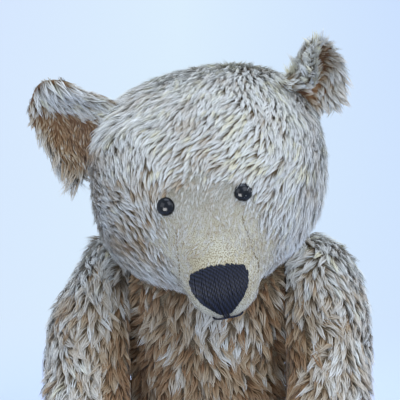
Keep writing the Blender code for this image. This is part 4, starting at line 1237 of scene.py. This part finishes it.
def makeLimb(kind, side, word):
    limb = limbs[kind]
    sections = limb["sections"]
    if kind == "arm" and side < 0:
        sections = slackShoulder + sections[len(slackShoulder):]
    steps = np.linspace(0, len(sections) - 1, limb["rows"])
    angles = np.linspace(0, math.tau, limb["around"], endpoint=False)
    place = limbPlace(kind, side)
    rows = limbGrid(sections, steps, angles, side)
    cover = closedSkin(f"{kind}_{word}_cloth", rows, [backingMaterial])
    local = meshPoints(cover)
    around = np.arctan2(local[:, 1], side * local[:, 0] - 20 * mm)
    weaveFrom(cover, np.stack([around * 27 * mm, local[:, 2]], 1))
    heights, middles = np.array(sections, float)[::-1, :2].T * mm
    seamX = np.interp(local[:, 2], heights, middles)
    padded = local[:, 2] < (heights[0] + 1 * mm if kind == "leg" else pawPad["top"] * mm)
    inward = side * local[:, 0]
    local = softened(cover, (np.abs(inward - seamX) < 1.5 * mm) | (inward < 0.5 * mm) | padded)
    local[:, 0] = side * np.maximum(side * local[:, 0], 0)
    if kind == "leg":
        local[:, 2] = np.maximum(local[:, 2], heights[0])
    points = moved(place, local)
    points[:, 2] = np.maximum(points[:, 2], 0)
    movePoints(cover, points)
    points, normals = meshPoints(cover), meshPoints(cover, "normal")
    inward = side * local[:, 0] / mm
    atJoint = 1 - ease(inward, 0.2, 5)
    down = np.array(place.to_3x3() @ Vector((0, 0, -1)))
    hanging = [[0, 0, -0.45 if kind == "arm" else 0]]
    combing = onCloth(down + hanging + np.outer(atJoint, [-0.8 * side, 0, 0]), normals)
    combing = turned(combing, normals, mottle(points, limbWearShadeAndLight["swirl"], side))
    growth = (inward > 0.3) * 1.0
    if kind == "arm":
        onPad = (local[:, 2] < pawPad["top"] * mm) & (inward < pawPad["edge"])
        growth *= 1 - onPad
    else:
        growth *= local[:, 2] > (legSections[-1][0] + 1.5) * mm
    tint = limb["tint"] + mottle(points, limbWearShadeAndLight["mottle"])
    # painted shade: browner in the crease against the body, below the joint; painted light: paler above it
    tint += 0.05 - limbWearShadeAndLight["inside"] * (1 - ease(inward, 3, 21)) * ease(-local[:, 2], 0, 40 * mm)
    tint += limbWearShadeAndLight["top"] * ease(local[:, 2], -12 * mm, 16 * mm)
    style = {**limbPile, "spacing": limb["spacing"]}
    pile = growPile(f"{kind}_{word}_pile", cover, style, 71 + side, bare=0.0, comb=combing, cover=growth,
                    pile=1 - limbWearShadeAndLight["joint"] * atJoint, tint=np.clip(tint, 0, 1))
    hidden = lengths(local[:, 1:]) < jointReach[kind]
    nap = growPile(f"{kind}_{word}_nap", cover, jointNap, 77 + side, pile=1.0,
                   cover=(inward <= 0.3) & ~hidden)
    pivot = place.translation
    raised = Matrix.Rotation(-math.radians(joints["shoulder_left"]["range_deg"][1]), 4, "X")
    toHead = headFrame.inverted() @ Matrix.Translation(pivot) @ raised @ Matrix.Translation(-pivot)
    for hair in (pile, nap):  # laid flat on the floor, along the body and by the cheek, so the limb can turn
        liftPoints(hair, floorRoom)
        points = meshPoints(hair)
        past = np.maximum(limb["pivot"].x - side * points[:, 0], 0)
        points[:, 0] += side * (past - jointOverlap * (1 - np.exp(-past / jointOverlap)))
        if kind == "arm":
            points[:, 0] += side * np.maximum(cheekRoom - headField(moved(toHead, points)), 0)
        movePoints(hair, points)
    return cover, (pile, nap)


limbPieces = {(kind, word): makeLimb(kind, side, word) for kind in ("arm", "leg") for side, word in sides}


def makePawPad(side, word):
    steps = np.linspace(pawPad["start"], len(armSections) - 1, pawPad["points"])
    angles = np.linspace(math.pi / 2 + 0.05, 1.5 * math.pi - 0.05, pawPad["points"])
    grids = [limbGrid(armSections, steps, angles, side, lift) for lift in pawPad["lifts"]]
    grids = [moved(limbPlace("arm", side), grid.reshape(-1, 3)).reshape(grid.shape) for grid in grids]
    return padPatch(f"arm_{word}_pad", *grids, feltMaterial)


def makeFootPad(side, word):
    # a felt sole that bulges a little and rounds down at its rim
    height, middle, half, middleY, depth = legSections[-1]
    shares = np.array([0.25, 0.5, 0.7, 0.85, 0.94, 0.985, 1.0])
    crown = footPad["bulge"] * (1 - shares ** 2.5)
    crown += footPad["rounding"] * np.sqrt(np.clip(1 - shares ** 8, 0, 1))
    angles = np.linspace(0, math.tau, footPad["around"], endpoint=False)
    rows = []
    for share, rise in zip(shares, crown):
        rows.append(np.stack([side * (middle + (half - footPad["inset"]) * share * np.cos(angles)),
                              middleY + (depth - footPad["inset"]) * share * np.sin(angles),
                              np.full(len(angles), height - rise)], -1))
    rows.append(rows[-1] * [1, 1, 0] + [0, 0, height + footPad["depth"]])
    placed = moved(limbPlace("leg", side), np.array(rows).reshape(-1, 3) * mm)
    return closedSkin(f"leg_{word}_pad", placed.reshape(len(rows), len(angles), 3), [feltMaterial])


pawPads = {word: makePawPad(side, word) for side, word in sides}
footPads = {word: makeFootPad(side, word) for side, word in sides}
print("limbs covered")


innerFinishes = (("stuffing", woolMaterial), ("disc", cardMaterial), ("card", cardMaterial),
                 ("washer", steelMaterial), ("pin", steelMaterial))
for name, node in frame["nodes"].items():
    for word, material in innerFinishes:
        if word in name:
            node.data.materials.clear()
            node.data.materials.append(material)


def settle(piece, body, slot, *nodes):
    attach(piece, body)
    if nodes:
        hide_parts(*nodes)


settle(headCover, "head", "mohair", "head_gusset", "head_side_left", "head_side_right")
settle(noseBase, "head", "thread", "nose_stitching")
settle(muzzleSeams, "head", "thread")
settle(noseStitches, "head", "thread")
settle(mouthStitches, "head", "thread", "mouth_stitching")
settle(bodyCover, "body", "mohair", "body_panel_left", "body_panel_right")
hairs = [(hair, "head") for hair in headPiles] + [(hair, "body") for hair in bodyHair]
for side, word in sides:
    settle(eyes[word], "head", "boot_button", f"eye_{word}")
    earCloth, earHair = ears[word]
    settle(earCloth, "head", "ear_cloth", f"ear_{word}_front", f"ear_{word}_back")
    armCover, armHair = limbPieces["arm", word]
    settle(armCover, f"arm_{word}", "mohair", f"arm_{word}_outer", f"arm_{word}_inner")
    settle(pawPads[word], f"arm_{word}", "felt", f"arm_{word}_paw_pad")
    legCover, legHair = limbPieces["leg", word]
    settle(legCover, f"leg_{word}", "mohair", f"leg_{word}_cover")
    settle(footPads[word], f"leg_{word}", "felt", f"leg_{word}_foot_pad")
    hairs += [(hair, "head") for hair in earHair]
    hairs += [(hair, f"arm_{word}") for hair in armHair] + [(hair, f"leg_{word}") for hair in legHair]
for hair, body in hairs:
    settle(hair, body, "mohair")
print("pieces riding")

floorForm = {"radius": 9.0, "farStart": 0.30, "shadowEnd": 0.5, "plainStart": 1.7, "plainEnd": 3.5}
floorMesh = bpy.data.meshes.new("floor")
bm = bmesh.new()
bmesh.ops.create_circle(bm, cap_ends=True, segments=96, radius=floorForm["radius"])
bm.to_mesh(floorMesh)
bm.free()
floor = addObject("floor", floorMesh)


def seenRays(tree):
    # 1 for what is seen or mirrored, 0 for what only lights the bear
    rays = addNode(tree, "ShaderNodeLightPath").outputs
    total = rays["Is Camera Ray"]
    for kind in ("Is Glossy Ray", "Is Transmission Ray"):
        total = addNode(tree, "ShaderNodeMath", {0: total, 1: rays[kind]}, operation="ADD", use_clamp=True)
    return total


# Painted floor: matt pale blue, with the backdrop's soft fall of light farther off
floorMaterial, tree, shader = newMaterial("Painted floor, matt", 0.9, Base_Color=linear("#c6d3ec"),
                                          Specular_IOR_Level=0.1)
objectPlace = addNode(tree, "ShaderNodeTexCoord")
parts = addNode(tree, "ShaderNodeSeparateXYZ", {0: objectPlace.outputs["Object"]})
away = addNode(tree, "ShaderNodeVectorMath", {0: objectPlace.outputs["Object"]}, operation="LENGTH")
far, plain = (addNode(tree, "ShaderNodeMapRange", {0: away, 1: floorForm[start],
                                                   2: floorForm[end]}, interpolation_type="SMOOTHSTEP")
              for start, end in (("farStart", "shadowEnd"), ("plainStart", "plainEnd")))
slope = addNode(tree, "ShaderNodeMapRange", {0: parts, 1: -0.3, 2: 0.3})
sweep = addNode(tree, "ShaderNodeValToRGB", {0: slope}, stops=[
    (0.0, "#d5e6ff"), (0.45, "#dbeefe"), (1.0, "#cadfff")])
evened = addNode(tree, "ShaderNodeMix", {
    "Factor": plain, "A": sweep, "B": linear("#d6e7ff")}, data_type="RGBA")
glow = addNode(tree, "ShaderNodeEmission", {"Color": evened, "Strength": 1.0})
glowShare = addNode(tree, "ShaderNodeMath", {0: seenRays(tree), 1: far}, operation="MULTIPLY")
floorMix = addNode(tree, "ShaderNodeMixShader", {0: glowShare, 1: shader, 2: glow})
feed(tree.nodes["Material Output"], {0: floorMix})
floorMesh.materials.append(floorMaterial)
floor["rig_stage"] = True

world = bpy.data.worlds.new("studio")
scene.world = world
world.use_nodes = True
tree = world.node_tree
tree.nodes.clear()
ambient = addNode(tree, "ShaderNodeBackground", {"Color": linear("#e4eeff"), "Strength": 0.85})
backdrop = addNode(tree, "ShaderNodeBackground", {"Color": linear("#d6e7ff"), "Strength": 1.0})
worldMix = addNode(tree, "ShaderNodeMixShader", {0: seenRays(tree), 1: ambient, 2: backdrop})
addNode(tree, "ShaderNodeOutputWorld", {0: worldMix})

lamps = {  # where each softbox stands from the bear's middle, its size in metres and its power in watts
    "key": {"place": (0.9, -1.1, 1.5), "size": 1.4, "power": 17.6, "colour": "#eef4ff"},
    "fill": {"place": (-1.3, -1.0, 0.7), "size": 1.2, "power": 7.7, "colour": "#f0f5ff"},
    "side": {"place": (1.5, -0.1, 0.5), "size": 1.0, "power": 6, "colour": "#f2f4ff"},
    "top": {"place": (0.0, 0.4, 1.9), "size": 1.4, "power": 18, "colour": "#dde9ff"},
    "glint": {"place": (-0.2, -0.52, -0.13), "size": 0.34, "power": 5, "colour": "#ffffff"}}
middle = (Vector(cadBox[0]) + Vector(cadBox[1])) / 2 + Vector((0, 0, 0.06))  # just below the head
for name, lamp in lamps.items():
    light = bpy.data.lights.new(name, "AREA")
    light.size, light.energy = lamp["size"], lamp["power"]
    light.color = linear(lamp["colour"])[:3]
    holder = addObject(name, light)
    holder.location = middle + Vector(lamp["place"])
    holder.rotation_euler = Vector(lamp["place"]).to_track_quat("Z", "Y").to_euler()
    holder.visible_camera = False
    holder.visible_diffuse = name != "glint"  # the low lamp is only there to be mirrored in the eyes
scene.view_settings.view_transform = "Standard"
print("stage lit")

added = sum(len(face.vertices) - 2 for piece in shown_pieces() if "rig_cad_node" not in piece
            for face in piece.data.polygons)
print("triangles added", added)
